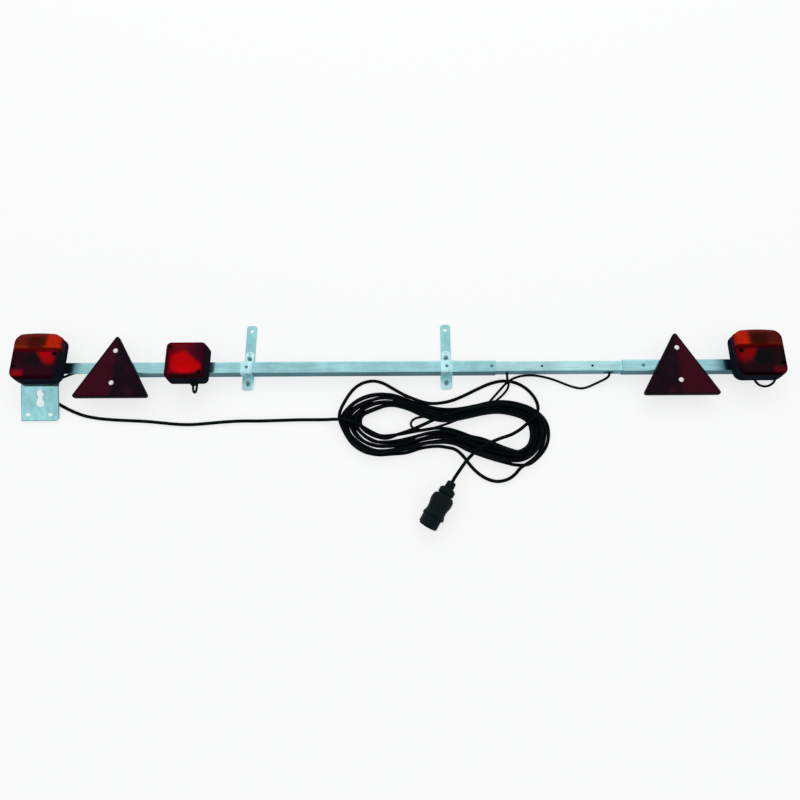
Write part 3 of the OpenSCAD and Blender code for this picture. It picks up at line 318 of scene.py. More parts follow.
def cable_finish(name, colour):
    """Cable jacket: smooth, with faint drag marks along and across."""
    paint = new_paint(name)
    place = paint.place()
    scuffs = paint.noise(place, 70.0, 5.0, 0.65)
    fine = paint.noise(place, 800.0, 2.0, 0.5)
    base = paint.mix(paint.step(scuffs, 0.52, 0.80) * 0.6, colour, tuple(c + 0.007 for c in colour))
    return paint.finish(base, 0.30 + 0.25 * scuffs, paint.bump(fine * 0.6 + scuffs * 0.4, 0.16, 0.0002),
                        Specular_IOR_Level=0.025)


# What the clear top layer of a lens does
LENS_COAT = {"Specular_IOR_Level": 0.0, "Coat_IOR": 1.3, "Coat_Roughness": 0.09}

# Where the two lamps differ: (brown, start of the painted bright field, its softness, strength of the
# painted highlight on the ledge), and (colour of the painted bright field, field's start, its slant, its
# lower end, its inner end, painted lit patch, unlit tone, dark disc of the bulb's painted shadow)
AMBER_LOOKS = {
    "left": ("#66180a", 19.5, 4.0, 0.50),
    "right": ("#50140a", 21.0, 6.5, 0.10),
}
RED_LOOKS = {
    "left": ("#a30206", 7.0, 0.67, (-10.0, 5.0), 31.0, "#8a0612", "#2c0613", "#120b12"),
    "right": ("#820206", 11.0, 0.50, (-16.0, 9.0), 38.0, "#540412", "#1c0810", "#040b0d"),
}


def lens_parts(paint, centre, side, front):
    """Millimetres on a rear lens: inwards from its middle, up from the bar, back from its face."""
    x, y, z = paint.axes(paint.place())
    inward = (centre - x) * (1000.0 * side)
    return inward, y * 1000.0, (front - z) * 1000.0


def amber_finish(name, where, bright, glint, centre, side, front):
    """Amber window: a bright field of painted light on the inner side, the bulb's painted shadow as a dark
    oval, a brown outer side, painted highlights on its ledge and rim, and painted shade at its inner end and
    walls.
    """
    paint = new_paint(name)
    place = paint.place()
    s, y, back = lens_parts(paint, centre, side, front)
    blotch = paint.noise(place, 60.0, 4.0, 0.6)
    fine = paint.noise(place, 160.0, 3.0, 0.6)
    flutes = paint.flutes(place, 95.0)
    tone, start, soft, ledge_highlight = AMBER_LOOKS[where]
    brown = linear(tone)
    dark = darker(brown, 0.36)
    outer = paint.step(s + 8 * blotch, -6.0, -30.0)
    base = paint.mix(outer * (0.6 + 0.4 * flutes), darker(brown, 0.6), brown)
    # Painted shadow of the bulb, a dark oval
    bulb = paint.disc(s + 4 * blotch, y, (0.0, 44.0), (16.0, 11.5), 0.30)
    base = paint.mix(bulb * 0.85, base, dark)
    # Painted highlight along the ledge low in the window
    ledge = paint.band(y, 31.6, 36.0, 1.2) * (1 - paint.band(s, -16.0, 12.0, 3.5))
    base = paint.mix(ledge * ledge_highlight, base, (glint[0] * 0.5, glint[1] * 0.5, glint[2]))
    # Painted light of the reflector: the bright field on the inner side, with painted highlight streaks
    # along the flutes
    field = paint.band(s + 5 * fine - 2.5, start, 48.5, soft) * paint.step(y, 29.0, 33.5)
    base = paint.mix(field, base, bright)
    base = paint.mix(field * paint.step(flutes * fine, 0.22, 0.55) * 0.6, base, glint)
    # Painted highlight on the upper rim
    rim = paint.step(y, 53.0, 61.0) * paint.band(s, -34.0, 40.0, 8.0)
    base = paint.mix(rim * 0.5, base, (bright[0] * 0.45, bright[1] + 0.018, bright[2] + 0.022))
    foot = 1 - paint.step(y, 28.8, 30.6)
    base = paint.mix(foot * 0.75, base, darker(bright, 0.20))
    # Painted shade at the inner end
    end = paint.step(s, 45.5, 49.0)
    base = paint.mix(end * 0.75, base, (bright[0] * 0.35, bright[1] + 0.006, bright[2] + 0.010))
    # Painted shade on the side walls
    walls = paint.step(back, 3.0, 8.0)
    base = paint.mix(walls * 0.92, base, (dark[0] * 0.9, dark[1] + 0.004, dark[2] + 0.020))
    face = paint.band(s, -42.0, 43.0, 3.0) * paint.band(y, 32.0, 56.0, 2.0) * (1 - walls)
    return paint.finish(base, 0.3 + 0.10 * blotch, paint.bump(flutes, 0.10, 0.0003),
                        Coat_Weight=0.01 + 0.13 * face, **LENS_COAT)


def red_finish(name, where, centre, side, front):
    """Red window: a bright field of painted light on the inner side, the bulb's painted shadow as a dark
    disc, a painted lit patch low outside, and painted shade in the screw's well, at its inner end and on its
    walls.
    """
    paint = new_paint(name)
    place = paint.place()
    s, y, back = lens_parts(paint, centre, side, front)
    blotch = paint.noise(place, 60.0, 4.0, 0.6)
    fine = paint.noise(place, 170.0, 3.0, 0.6)
    flutes = paint.flutes(place, 80.0)
    rows = paint.flutes(place, 80.0, "Y")
    bright, start, slant, (fall, full), stop, low, plum, dark = RED_LOOKS[where]
    bright, low, plum, dark = linear(bright), linear(low), linear(plum), linear(dark)
    base = paint.mix(paint.step(y, -34.0, -20.0), darker(plum, 0.5), plum)
    base = paint.mix(paint.step(blotch, 0.45, 0.70) * 0.5, base, darker(plum, 0.55))
    # Painted shadow of the bulb, a dark disc with a plum heart
    ring = paint.disc(s + 3 * blotch, y, (-3.0, 2.5), (18.0, 17.0), 0.28)
    base = paint.mix(ring * 0.9, base, dark)
    heart = paint.disc(s, y, (-7.0, -9.5), (9.0, 6.0), 0.7)
    base = paint.mix(heart * 0.7, base, plum)
    # Painted light of the reflector: the bright field on the inner side, fading towards the top
    across = s + slant * (y - 18.0) + 5 * fine - 2.5
    field = (paint.step(across, start - 6.5, start + 6.5) * (1 - paint.step(s - 0.1 * y, stop, stop + 15.0))
             * paint.step(y + 6 * fine - 3.0, fall, full) * (1 - 0.72 * paint.step(y, 19.0, 24.0)))
    base = paint.mix(field, base, bright)
    base = paint.mix(field * paint.step(fine, 0.50, 0.72) * 0.35, base, darker(bright, 0.55))
    # Painted shade in the well of the inner lens screw
    well = paint.disc(s, y, (38.5, 18.0), (5.5, 5.5), 0.35)
    base = paint.mix(well * 0.85, base, dark)
    top = paint.step(y, 20.5, 24.0)
    base = paint.mix(top * 0.30, base, darker(bright, 0.35))
    # A painted lit patch low on the outer side
    patch = (paint.band(s, -43.0, -19.0, 5.0) * (1 - paint.step(y + 4 * fine - 2.0, -22.0, -11.0))
             * paint.step(y, -31.0, -26.5))
    base = paint.mix(patch, base, low)
    base = paint.mix(flutes * rows * 0.18, base, dark)
    # Painted shade at the inner end
    end = paint.step(s - 0.08 * y, stop + 11.0, stop + 15.0)
    base = paint.mix(end * 0.85, base, (0.004, 0.008, 0.009))
    # Painted shade on the side walls
    inside = paint.band(s, -45.0, 43.0, 1.5) * paint.band(y, -31.0, 26.0, 1.5)
    walls = paint.step(back, 3.0, 8.0) * (1 - inside)
    base = paint.mix(walls * 0.95, base, (0.008, 0.010, 0.017))
    face = paint.band(s, -42.0, 41.0, 3.0) * paint.band(y, -28.0, 21.0, 2.5) * (1 - walls)
    return paint.finish(base, 0.3 + 0.10 * blotch, paint.bump(flutes * 0.5 + rows * 0.5, 0.12, 0.0003),
                        Coat_Weight=0.01 + 0.11 * face, **LENS_COAT)


def fog_lens_finish(name, tones, centre, front):
    """Fog lens: a bright field of painted light below with a painted highlight, a duller field above, a dark
    border, and painted shade on its walls.
    """
    paint = new_paint(name)
    place = paint.place()
    x, y, z = paint.axes(place)
    s, v, back = (x - centre) * 1000.0 - 2.0, y * 1000.0, (front - z) * 1000.0
    blotch = paint.noise(place, 60.0, 4.0, 0.6)
    fine = paint.noise(place, 150.0, 3.0, 0.6)
    flutes = paint.flutes(place, 85.0)
    rows = paint.flutes(place, 85.0, "Y")
    bright, dull, plum, dark = tones
    base = paint.mix(paint.step(s + 6 * fine, -4.0, 26.0), dull, plum)
    # Painted light of the reflector: the bright field below
    right = paint.maths("MAXIMUM", s + 1.0, 0.0)
    left = paint.maths("MAXIMUM", -10.0 - s, 0.0)
    below = v - (19.5 - right * 0.87 - left * 0.40) + 9 * fine - 4.5 + 6 * blotch - 3.0
    above = v + 27.5 - s * s * 0.011
    field = ((1 - paint.step(below, -9.0, 8.0)) * paint.step(above, -5.0, 5.0)
             * paint.band(s, -28.5, 33.0, 6.5))
    base = paint.mix(field, base, bright)
    # A painted highlight in the middle of the bright field
    glint = paint.disc(s, v, (-2.0, -19.0), (19.0, 5.5), 0.6)
    base = paint.mix(field * glint * 0.6, base, (min(1.0, bright[0] * 1.3), bright[1], bright[2] * 1.8))
    base = paint.mix(field * paint.step(fine, 0.55, 0.75) * 0.22, base, dull)
    foot = 1 - paint.step(v, -31.0, -25.0)
    base = paint.mix(foot * 0.85, base, darker(dark, 0.8))
    border = 1 - paint.band(s, -34.5, 34.0, 2.5) * paint.band(v, -31.0, 42.0, 1.5)
    base = paint.mix(border * 0.8, base, dark)
    base = paint.mix(flutes * rows * 0.22, base, dark)
    # Painted shade on the side walls
    inside = paint.band(s, -37.0, 33.5, 1.0) * paint.band(v, -34.0, 40.0, 1.0)
    walls = paint.step(back, 3.0, 8.0) * (1 - inside)
    base = paint.mix(walls * 0.92, base, (0.006, 0.008, 0.014))
    face = paint.band(s, -33.0, 31.0, 2.5) * paint.band(v, -27.0, 36.0, 2.5) * (1 - walls)
    return paint.finish(base, 0.3 + 0.10 * blotch, paint.bump(flutes * 0.5 + rows * 0.5, 0.12, 0.0003),
                        Coat_Weight=0.01 + 0.09 * face, **LENS_COAT)


def prism_finish(name, lit, dull, centre, lit_side):
    """Dark red reflector: small prism cells, with painted light making one half brighter."""
    paint = new_paint(name)
    place = paint.place()
    x, y, z = paint.axes(place)
    edge = paint.cells(place, 330.0, "DISTANCE_TO_EDGE")
    tint = paint.cells(place, 330.0)
    cloud = paint.noise(place, 24.0, 4.0, 0.6)
    # Painted light: one half is given the lit tone, the other the dull tone
    half = paint.step((x - centre) * lit_side + 0.006 * cloud, -0.002, 0.008)
    base = paint.mix(half, dull, lit)
    base = paint.mix(paint.step(tint, 0.1, 0.8) * 0.40, base, darker(dull, 0.6))
    base = paint.mix(paint.step(cloud, 0.52, 0.78) * 0.45, base, tuple(c * 1.5 + 0.002 for c in lit))
    base = paint.mix((1 - paint.step(edge, 0.0, 0.08)) * 0.4, base, darker(dull, 0.3))
    return paint.finish(base, 0.20 + 0.18 * cloud, paint.bump(edge, 0.25, 0.0005),
                        Specular_IOR_Level=0.06, Specular_Tint=(0.8, 0.3, 0.4))


def glass_finish(name, colour):
    """Clear bulb glass, greyed a little by its filament."""
    paint = new_paint(name)
    place = paint.place()
    cloud = paint.noise(place, 120.0, 3.0, 0.5)
    base = paint.mix(cloud * 0.4, colour, darker(colour, 0.8))
    return paint.finish(base, 0.06 + 0.05 * cloud, paint.bump(cloud, 0.05, 0.0002),
                        Transmission_Weight=0.7, IOR=1.45)


# Modelling helpers

def deselect():
    if bpy.context.object and bpy.context.object.mode != "OBJECT":
        bpy.ops.object.mode_set(mode="OBJECT")
    bpy.ops.object.select_all(action="DESELECT")


def take(piece):
    """Makes one object the only selected and active one."""
    deselect()
    piece.select_set(True)
    bpy.context.view_layer.objects.active = piece
    return piece


def settle(piece, name):
    """Names a piece and puts its place into its mesh."""
    take(piece)
    bpy.ops.object.transform_apply(location=True, rotation=True, scale=True)
    piece.name = name
    piece.data.name = name
    return piece


def pick(piece, test, kind="face"):
    """Selects the faces, edges or vertices that pass a test, in edit mode."""
    bm = bmesh.from_edit_mesh(piece.data)
    for part in (bm.faces, bm.edges, bm.verts):
        for item in part:
            item.select_set(False)
    bpy.context.tool_settings.mesh_select_mode = (kind == "vert", kind == "edge", kind == "face")
    chosen = {"face": bm.faces, "edge": bm.edges, "vert": bm.verts}[kind]
    for item in chosen:
        if test(item):
            item.select_set(True)
    bm.select_flush_mode()
    bmesh.update_edit_mesh(piece.data)


def smooth(piece, degrees=35):
    take(piece)
    bpy.ops.object.shade_smooth_by_angle(angle=math.radians(degrees))


def dress(piece, material):
    piece.data.materials.clear()
    piece.data.materials.append(material)


def cut(piece, tool):
    """Takes a tool out of a piece, and removes the tool."""
    take(piece)
    boolean = piece.modifiers.new("cut", "BOOLEAN")
    boolean.operation = "DIFFERENCE"
    boolean.solver = "EXACT"
    boolean.object = tool
    bpy.ops.object.modifier_apply(modifier=boolean.name)
    bpy.data.objects.remove(tool)


def join(pieces):
    deselect()
    for piece in pieces:
        piece.select_set(True)
    bpy.context.view_layer.objects.active = pieces[0]
    bpy.ops.object.join()
    return pieces[0]


# Cable routes, in millimetres. These are the routes of the cable nodes.

TRUNK = [
    (-730, -20, 28), (-730, -20, 23), (-730.7, -21.5, 16), (-732.5, -26.5, 9.5), (-733.6, -33, 5.5),
    (-732, -40, 3.8), (-726.5, -46.5, 3.5), (-717, -54.5, 3.5), (-706, -63, 3.5), (-694, -71, 3.5),
    (-680, -78.5, 3.5), (-662, -87, 3.5), (-640, -95, 3.5), (-610, -101, 3.5), (-580, -104, 3.5),
    (-545, -106, 3.5), (-510, -108, 3.5), (-480, -111, 3.5), (-450, -114, 3.5), (-420, -115, 3.5),
    (-390, -113, 3.5), (-355, -110, 3.5), (-320, -108, 3.5), (-280, -108, 3.5), (-240, -107, 3.5),
    (-200, -106, 3.5), (-165, -106, 3.5), (-142, -106.5, 6), (-122, -108, 13), (-104, -111, 17.3),
    (-86, -116, 17.3), (-68, -125, 14), (-50, -135, 11), (-30, -142.5, 10.3),
]

# The hank's outer edge and the edge of its openings, station by station, clockwise from the left end
HANK = [
    (-119, -113, -69, -114), (-117, -93, -66, -104), (-106, -75, -57, -98), (-87, -59, -43, -92),
    (-62, -49, -28, -87), (-34, -45, -10, -84), (-6, -50, 6, -86), (19, -60, 25, -92),
    (41, -68, 45, -103), (63, -75, 66, -113), (88, -82, 90, -117), (112, -82, 112, -115),
    (144, -79, 143, -109), (175, -72, 174, -102), (206, -66, 205, -98), (238, -68, 234, -102),
    (265, -76, 252, -110), (289, -92, 262, -119), (301, -115, 265, -128), (302, -140, 265, -143),
    (296, -165, 258, -160), (280, -188, 248, -168), (262, -203, 238, -171), (238, -209, 225, -165),
    (212, -209, 210, -158), (185, -203, 190, -150), (158, -192, 170, -143), (134, -182, 150, -138),
    (116, -172, 125, -130), (98, -167, 104, -126), (80, -167, 80, -124), (49, -171, 50, -128),
    (19, -179, 25, -137), (-12, -183, -6, -143), (-39, -185, -33, -143), (-67, -178, -50, -137),
    (-91, -163, -60, -129), (-107, -145, -67, -122), (-115, -129, -69, -118),
]
LAYERS = (3.5, 10.3, 17.2)

# Loose turns: beside the lower right, over the upper left, then over the upper right and out to the plug
LOOSE_LOW = [
    (117, -170, 3.5), (133, -185, 3.5), (145, -202, 3.5), (160, -218, 3.5), (178, -230, 3.5),
    (198, -235, 3.5), (219, -230.5, 4), (233, -221, 7), (243, -210, 10.3),
]
LOOSE_UP = [
    (-114, -88, 16), (-108, -72, 11), (-99, -54, 6.5), (-86, -37, 4), (-69, -26.5, 3.5), (-48, -23, 3.5),
    (-29, -28, 3.5), (-9, -40, 4.5), (13, -55, 10), (32, -66, 17), (48, -74, 22), (66, -78, 21),
    (88, -75, 14), (113, -67, 6.5), (138, -55.5, 3.5), (164, -42.5, 3.5), (192, -30, 3.5),
    (218, -24.5, 3.5), (243, -28, 3.5), (264, -40, 3.5), (278, -57, 6), (284, -75, 12.5), (284, -92, 17.2),
    (276, -107, 17.2), (262, -119, 15.5), (246, -132, 14), (227, -143, 15), (205, -151, 17.2),
    (182, -161, 17.2), (160, -174, 17.2), (143, -189, 16.5), (133, -201, 17), (122, -216.5, 19.5),
    (112, -231.4, 21.7), (107, -240, 22),
]
LINK = [
    (226, -11, 15.5), (226, -18, 15.5), (226.5, -26, 15.5), (229, -34, 11), (227, -42, 5), (221, -50, 2.5),
    (212, -59, 2.5), (200, -69, 2.5), (186, -79, 2.5), (165, -88, 2.5), (135, -95, 2.5), (100, -99, 2.5),
    (70, -101, 2.5), (50, -101, 2.5), (37, -104, 2.5), (29, -110.5, 2.5), (28, -118.5, 2.5),
    (35, -126, 2.5), (48, -128, 2.5), (70, -125, 2.5), (100, -116, 2.5), (130, -104, 2.5), (160, -91, 2.5),
    (177, -80, 2.5), (190, -68, 2.5), (201, -56, 3.5), (213, -43, 6.5), (224, -32, 9.5), (237, -23, 11.5),
    (253, -17.5, 12.5), (268, -15.5, 12), (284, -15.5, 11), (300, -17.5, 9), (320, -22, 6), (342, -30, 3.5),
    (360, -37, 2.5), (378, -41, 2.5), (392, -38.5, 2.5), (404, -33.5, 3.5), (415, -29, 6.5),
    (425, -25, 10.5), (432.5, -20.8, 14.2), (435.8, -16, 15.4), (436, -11, 15.5),
]
RIGHT_LEAD = [
    (436, -8.9, 15.5), (436.5, -5, 14.5), (441, -1.5, 12), (450, 0.5, 9.6), (462, 1, 9), (520, 1, 9),
    (600, 1, 9), (650, 1, 9), (685, 0, 7.2), (740, 0, 7.2), (757, 0, 7.4), (768, -3, 9), (774.2, -12, 11.5),
    (774.3, -23.5, 14.2), (768.8, -34, 14.5), (759.5, -40.6, 14), (748.8, -42.8, 14), (738.7, -39.5, 14),
    (732.5, -31.8, 14.3), (730, -25, 17.5), (730, -20, 21.5), (730, -20, 26),
]
FOG_LEAD = [
    (-411, -43, 39), (-411, -48, 39), (-411, -52.5, 36), (-411, -54.5, 30), (-411, -53, 23.5),
    (-411, -48, 18.5), (-411, -40, 16), (-411, -30, 15.5), (-411, -20, 15.5), (-411, -12.5, 15.5),
]


def spline_between(points, spacing):
    """Even points along a smooth line through a list of points."""
    points = [Vector(p) for p in points]
    fine = []
    for i in range(len(points) - 1):
        a, b, c, d = (points[max(i - 1, 0)], points[i], points[i + 1], points[min(i + 2, len(points) - 1)])
        knots = [0.0]
        for p, q in ((a, b), (b, c), (c, d)):
            knots.append(knots[-1] + max((q - p).length, 1e-6) ** 0.5)
        for k in range(8):
            t = knots[1] + (knots[2] - knots[1]) * k / 8
            a1 = (a * (knots[1] - t) + b * (t - knots[0])) / (knots[1] - knots[0])
            a2 = (b * (knots[2] - t) + c * (t - knots[1])) / (knots[2] - knots[1])
            a3 = (c * (knots[3] - t) + d * (t - knots[2])) / (knots[3] - knots[2])
            b1 = (a1 * (knots[2] - t) + a2 * (t - knots[0])) / (knots[2] - knots[0])
            b2 = (a2 * (knots[3] - t) + a3 * (t - knots[1])) / (knots[3] - knots[1])
            fine.append((b1 * (knots[2] - t) + b2 * (t - knots[1])) / (knots[2] - knots[1]))
    fine.append(points[-1])
    even, left = [fine[0]], spacing
    for p, q in zip(fine, fine[1:]):
        gone = 0.0
        length = (q - p).length
        while length - gone >= left:
            gone += left
            even.append(p.lerp(q, gone / length))
            left = spacing
        left -= length - gone
    if (even[-1] - fine[-1]).length < spacing * 0.5:
        even.pop()
    even.append(fine[-1])
    return even


def hank_point(station, share):
    """A point of the hank: station along its turns, share of the way from its outer to its inner edge."""
    count = len(HANK)
    i = math.floor(station)
    t = station - i
    rows = [HANK[(i + k) % count] for k in (-1, 0, 1, 2)]

    def through(k):
        a, b, c, d = (row[k] for row in rows)
        return 0.5 * (2 * b + (c - a) * t + (2 * a - 5 * b + 4 * c - d) * t * t
                      + (3 * b - a - 3 * c + d) * t ** 3)

    ox, oy, ix, iy = (through(k) for k in range(4))
    return ox + (ix - ox) * share, oy + (iy - oy) * share


def ease(value, low, high):
    t = min(1.0, max(0.0, (value - low) / (high - low)))
    return t * t * (3 - 2 * t)


def lifted(point):
    """Raises the hank where the thin cable lies below it."""
    x, y, z = point
    lift = 4.6 * ease(x, 2, 32) * (1 - ease(x, 196, 222)) * ease(y, -150, -131) * (1 - ease(y, -78, -70))
    return x, y, z + lift


def turns(start, end, share_from, share_to, level_from, level_to, climb=3.0, bulge=None):
    """Turns of the hank from one station to another; the level changes over the first few stations."""
    way = 1 if end > start else -1
    steps = int(abs(end - start))
    made = []
    for k in range(steps + 1):
        station = start + way * k
        t = k / max(1, steps)
        share = share_from + (share_to - share_from) * t
        if bulge and bulge[0] <= k <= bulge[1]:
            share -= bulge[2] * math.sin(math.pi * (k - bulge[0]) / (bulge[1] - bulge[0])) ** 2
        share += 0.018 * math.sin(1.7 * station + 2.3 * share_from)
        z = level_from + (level_to - level_from) * min(1.0, k / climb)
        x, y = hank_point(station, share)
        made.append(lifted((x, y, z)))
    return made


def main_cable_route():
    count = len(HANK)
    low, middle, top = LAYERS
    route = list(TRUNK)
    bulge = (3 * count + 7, 3 * count + 18, 0.30)
    route += turns(32, 32 - 4 * count, 0.93, 0.10, middle, low, 4.0, bulge)[1:]
    route += turns(31, 29, 0.10, 0.06, low, low)
    route += [lifted(p) for p in LOOSE_LOW]
    start = 21.5
    route += turns(start, start - 3 * count - 27, 0.14, 0.92, middle, middle)
    route += [(2, -140, 12), (26, -133, 16.5)]
    route += [lifted(p) for p in ((52, -123, 17.2), (82, -109, 17.2), (112, -98, 17.2))]
    route += turns(13, count, 0.45, 0.10, top, top)
    route += turns(count + 0.6, count + 1.2, 0.06, 0.04, top, top)
    route += LOOSE_UP
    return route


def cable_piece(name, route, diameter, spacing):
    """One continuous round cable along a route in millimetres."""
    points = [Vector(p) * MM for p in spline_between(route, spacing)]
    curve = bpy.data.curves.new(name, "CURVE")
    curve.dimensions = "3D"
    curve.bevel_depth = diameter / 2
    curve.bevel_resolution = 3
    curve.use_fill_caps = True
    spline = curve.splines.new("POLY")
    spline.points.add(len(points) - 1)
    for slot, point in zip(spline.points, points):
        slot.co = (*point, 1.0)
    piece = bpy.data.objects.new(name, curve)
    bpy.context.scene.collection.objects.link(piece)
    return piece, points


# Operators

class BOARD_OT_stage(bpy.types.Operator):
    """Sets up the pale floor, the soft lights and the camera"""

    bl_idname = "board.stage"
    bl_label = "Studio"

    def execute(self, context):
        scene = context.scene
        sizes = scene.board_sizes
        deselect()
        bpy.ops.mesh.primitive_plane_add(size=sizes.floor_size, location=(0, 0, -0.0002))
        floor = settle(context.object, "studio_floor")
        paint = new_paint("studio_floor")
        path = paint.node("ShaderNodeLightPath")
        seen = self.straight_rays(paint, path)
        diffuse = paint.node("ShaderNodeBsdfDiffuse", None, {"Color": (0.92, 0.92, 0.92)})
        white = paint.node("ShaderNodeEmission", None, {"Color": (1.0, 1.0, 1.0), "Strength": 1.0})
        mixed = paint.node("ShaderNodeMixShader", None, {0: seen * 0.72, 1: diffuse, 2: white})
        paint.node("ShaderNodeOutputMaterial", None, {"Surface": mixed})
        dress(floor, paint.owner)

        scene.world = bpy.data.worlds.new("studio_world")
        paint = Paint(scene.world)
        path = paint.node("ShaderNodeLightPath")
        soft = paint.node("ShaderNodeBackground", None, {"Color": (0.96, 0.98, 1.0), "Strength": 0.84})
        white = paint.node("ShaderNodeBackground", None, {"Color": (1.0, 1.0, 1.0), "Strength": 1.0})
        seen = self.straight_rays(paint, path)
        mixed = paint.node("ShaderNodeMixShader", None, {0: seen, 1: soft, 2: white})
        paint.node("ShaderNodeOutputWorld", None, {"Surface": mixed})

        self.lamp("key_light", (0.0, 2.2, 2.5), (0.0, 0.0, 0.0), 3.6, 1.6, 22.0)
        self.camera(scene)
        scene.view_settings.view_transform = "Standard"
        return {"FINISHED"}

    def straight_rays(self, paint, path):
        """1 for what the camera, a mirror or a clear piece shows."""
        kinds = path.socket.node.outputs
        camera, glossy, clear = (
            Signal(paint, kinds[key]) for key in ("Is Camera Ray", "Is Glossy Ray", "Is Transmission Ray")
        )
        return paint.maths("MAXIMUM", paint.maths("MAXIMUM", camera, glossy), clear)

    def lamp(self, name, place, aim, width, depth, power):
        deselect()
        bpy.ops.object.light_add(type="AREA", location=place)
        lamp = bpy.context.object
        lamp.name = name
        lamp.data.shape = "RECTANGLE"
        lamp.data.size = width
        lamp.data.size_y = depth
        lamp.data.energy = power
        lamp.rotation_euler = (Vector(aim) - Vector(place)).to_track_quat("-Z", "Y").to_euler()

    def camera(self, scene):
        yaw, pitch, roll = CAMERA_TURN
        forward = Vector((
            -math.sin(yaw) * math.cos(pitch), math.cos(yaw) * math.cos(pitch), -math.sin(pitch),
        ))
        right = Vector((math.cos(yaw), math.sin(yaw), 0.0))
        down = forward.cross(right)
        right, down = (
            math.cos(roll) * right + math.sin(roll) * down,
            math.cos(roll) * down - math.sin(roll) * right,
        )
        data = bpy.data.cameras.new("camera")
        data.sensor_fit = "HORIZONTAL"
        data.sensor_width = SENSOR
        data.lens = SENSOR * CAMERA_FOCUS
        data.clip_start = 0.01
        data.clip_end = 50.0
        camera = bpy.data.objects.new("camera", data)
        turn = Matrix((right, -down, -forward)).transposed().to_4x4()
        camera.matrix_world = Matrix.Translation(CAMERA_PLACE) @ turn
        scene.collection.objects.link(camera)
        scene.camera = camera


class BOARD_OT_cables(bpy.types.Operator):
    """Lays the main cable with its hank, the thin cables and the leads of the lamps"""

    bl_idname = "board.cables"
    bl_label = "Cables"

    def execute(self, context):
        sizes = context.scene.board_sizes
        colours = context.scene.board_colours
        jacket = cable_finish("cable_jacket", tuple(colours.cable))
        main, line = cable_piece("main_cable", main_cable_route(), sizes.main_cable, 5.0)
        dress(main, jacket)
        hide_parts("trunk_cable", "cable_hank", "plug_lead")
        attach(main, "main")
        link, line = cable_piece("link_cable", LINK, sizes.thin_cable, 4.0)
        dress(link, jacket)
        take(link)
        bpy.ops.object.convert(target="MESH")
        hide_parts("link_cable_left", "link_cable_right")
        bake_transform(link)
        for name, route, node, body in (
            ("right_lamp_lead", RIGHT_LEAD, "right_lamp_cable", "right"),
            ("fog_lamp_lead", FOG_LEAD, "fog_cable", "main"),
        ):
            lead, line = cable_piece(name, route, sizes.thin_cable, 2.5)
            dress(lead, jacket)
            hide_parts(node)
            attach(lead, body)
        return {"FINISHED"}


def rounded_block(name, low, high, corner, arch, edge, crown, draft):
    """A lamp-shaped block with rounded corners, an arched upper edge, a rounded front and a crown."""
    deselect()
    middle = (Vector(low) + Vector(high)) / 2
    half = (Vector(high) - Vector(low)) / 2
    bpy.ops.mesh.primitive_cube_add(size=1.0, location=middle)
    piece = bpy.context.object
    piece.scale = half * 2
    settle(piece, name)
    bpy.ops.object.mode_set(mode="EDIT")

    def upright(item):
        a, b = item.verts
        return (a.co - b.co).xy.length < 1e-6

    pick(piece, upright, "edge")
    bpy.ops.mesh.bevel(offset=corner, segments=8, profile=0.5)
    pick(piece, lambda f: f.normal.z > 0.9)
    bpy.ops.transform.resize(value=(1 - draft / half.x, 1 - draft / half.y, 1), center_override=middle)
    pick(piece, lambda e: all(v.co.z > high[2] - 1e-5 for v in e.verts), "edge")
    bpy.ops.mesh.bevel(offset=edge, segments=6, profile=0.5)
    for k in range(1, 12):
        for axis in (0, 1):
            place, normal = [0, 0, 0], [0, 0, 0]
            place[axis] = low[axis] + (high[axis] - low[axis]) * k / 12
            normal[axis] = 1
            bpy.ops.mesh.select_all(action="SELECT")
            bpy.ops.mesh.bisect(plane_co=place, plane_no=normal)
    mesh = bmesh.from_edit_mesh(piece.data)
    flat = half.x - draft - edge, half.y - draft - edge
    for vert in mesh.verts:
        u = (vert.co.x - middle.x) / flat[0]
        v = (vert.co.y - middle.y) / flat[1]
        if vert.co.z > high[2] - 1e-5 and abs(u) < 1 and abs(v) < 1:
            vert.co.z += crown * (1 - u * u) * (1 - v * v)
        if arch:
            vert.co.y += arch * (1 - min(1.0, ((vert.co.x - middle.x) / half.x) ** 2)) * max(0.0, v) ** 2
    bmesh.update_edit_mesh(piece.data)
    bpy.ops.object.mode_set(mode="OBJECT")
    return piece


def shell_of(piece, wall):
    """Opens a block at its back and gives it a wall inwards."""
    take(piece)
    bpy.ops.object.mode_set(mode="EDIT")
    pick(piece, lambda f: f.normal.z < -0.9, "face")
    bpy.ops.mesh.delete(type="FACE")
    bpy.ops.object.mode_set(mode="OBJECT")
    solid = piece.modifiers.new("wall", "SOLIDIFY")
    solid.thickness = wall
    solid.offset = -1.0
    solid.use_even_offset = False
    bpy.ops.object.modifier_apply(modifier=solid.name)
    return piece


def half_of(piece, level, upper):
    """Keeps the part of a shell above or below a level of the board, and closes the cut."""
    take(piece)
    bpy.ops.object.mode_set(mode="EDIT")
    bpy.ops.mesh.select_all(action="SELECT")
    bpy.ops.mesh.bisect(plane_co=(0, level, 0), plane_no=(0, 1, 0), use_fill=True,
                        clear_inner=upper, clear_outer=not upper)
    bpy.ops.object.mode_set(mode="OBJECT")
    return piece


def drill(piece, place, radius, low, high):
    deselect()
    bpy.ops.mesh.primitive_cylinder_add(vertices=32, radius=radius, depth=high - low,
                                        location=(place[0], place[1], (low + high) / 2))
    cut(piece, bpy.context.object)


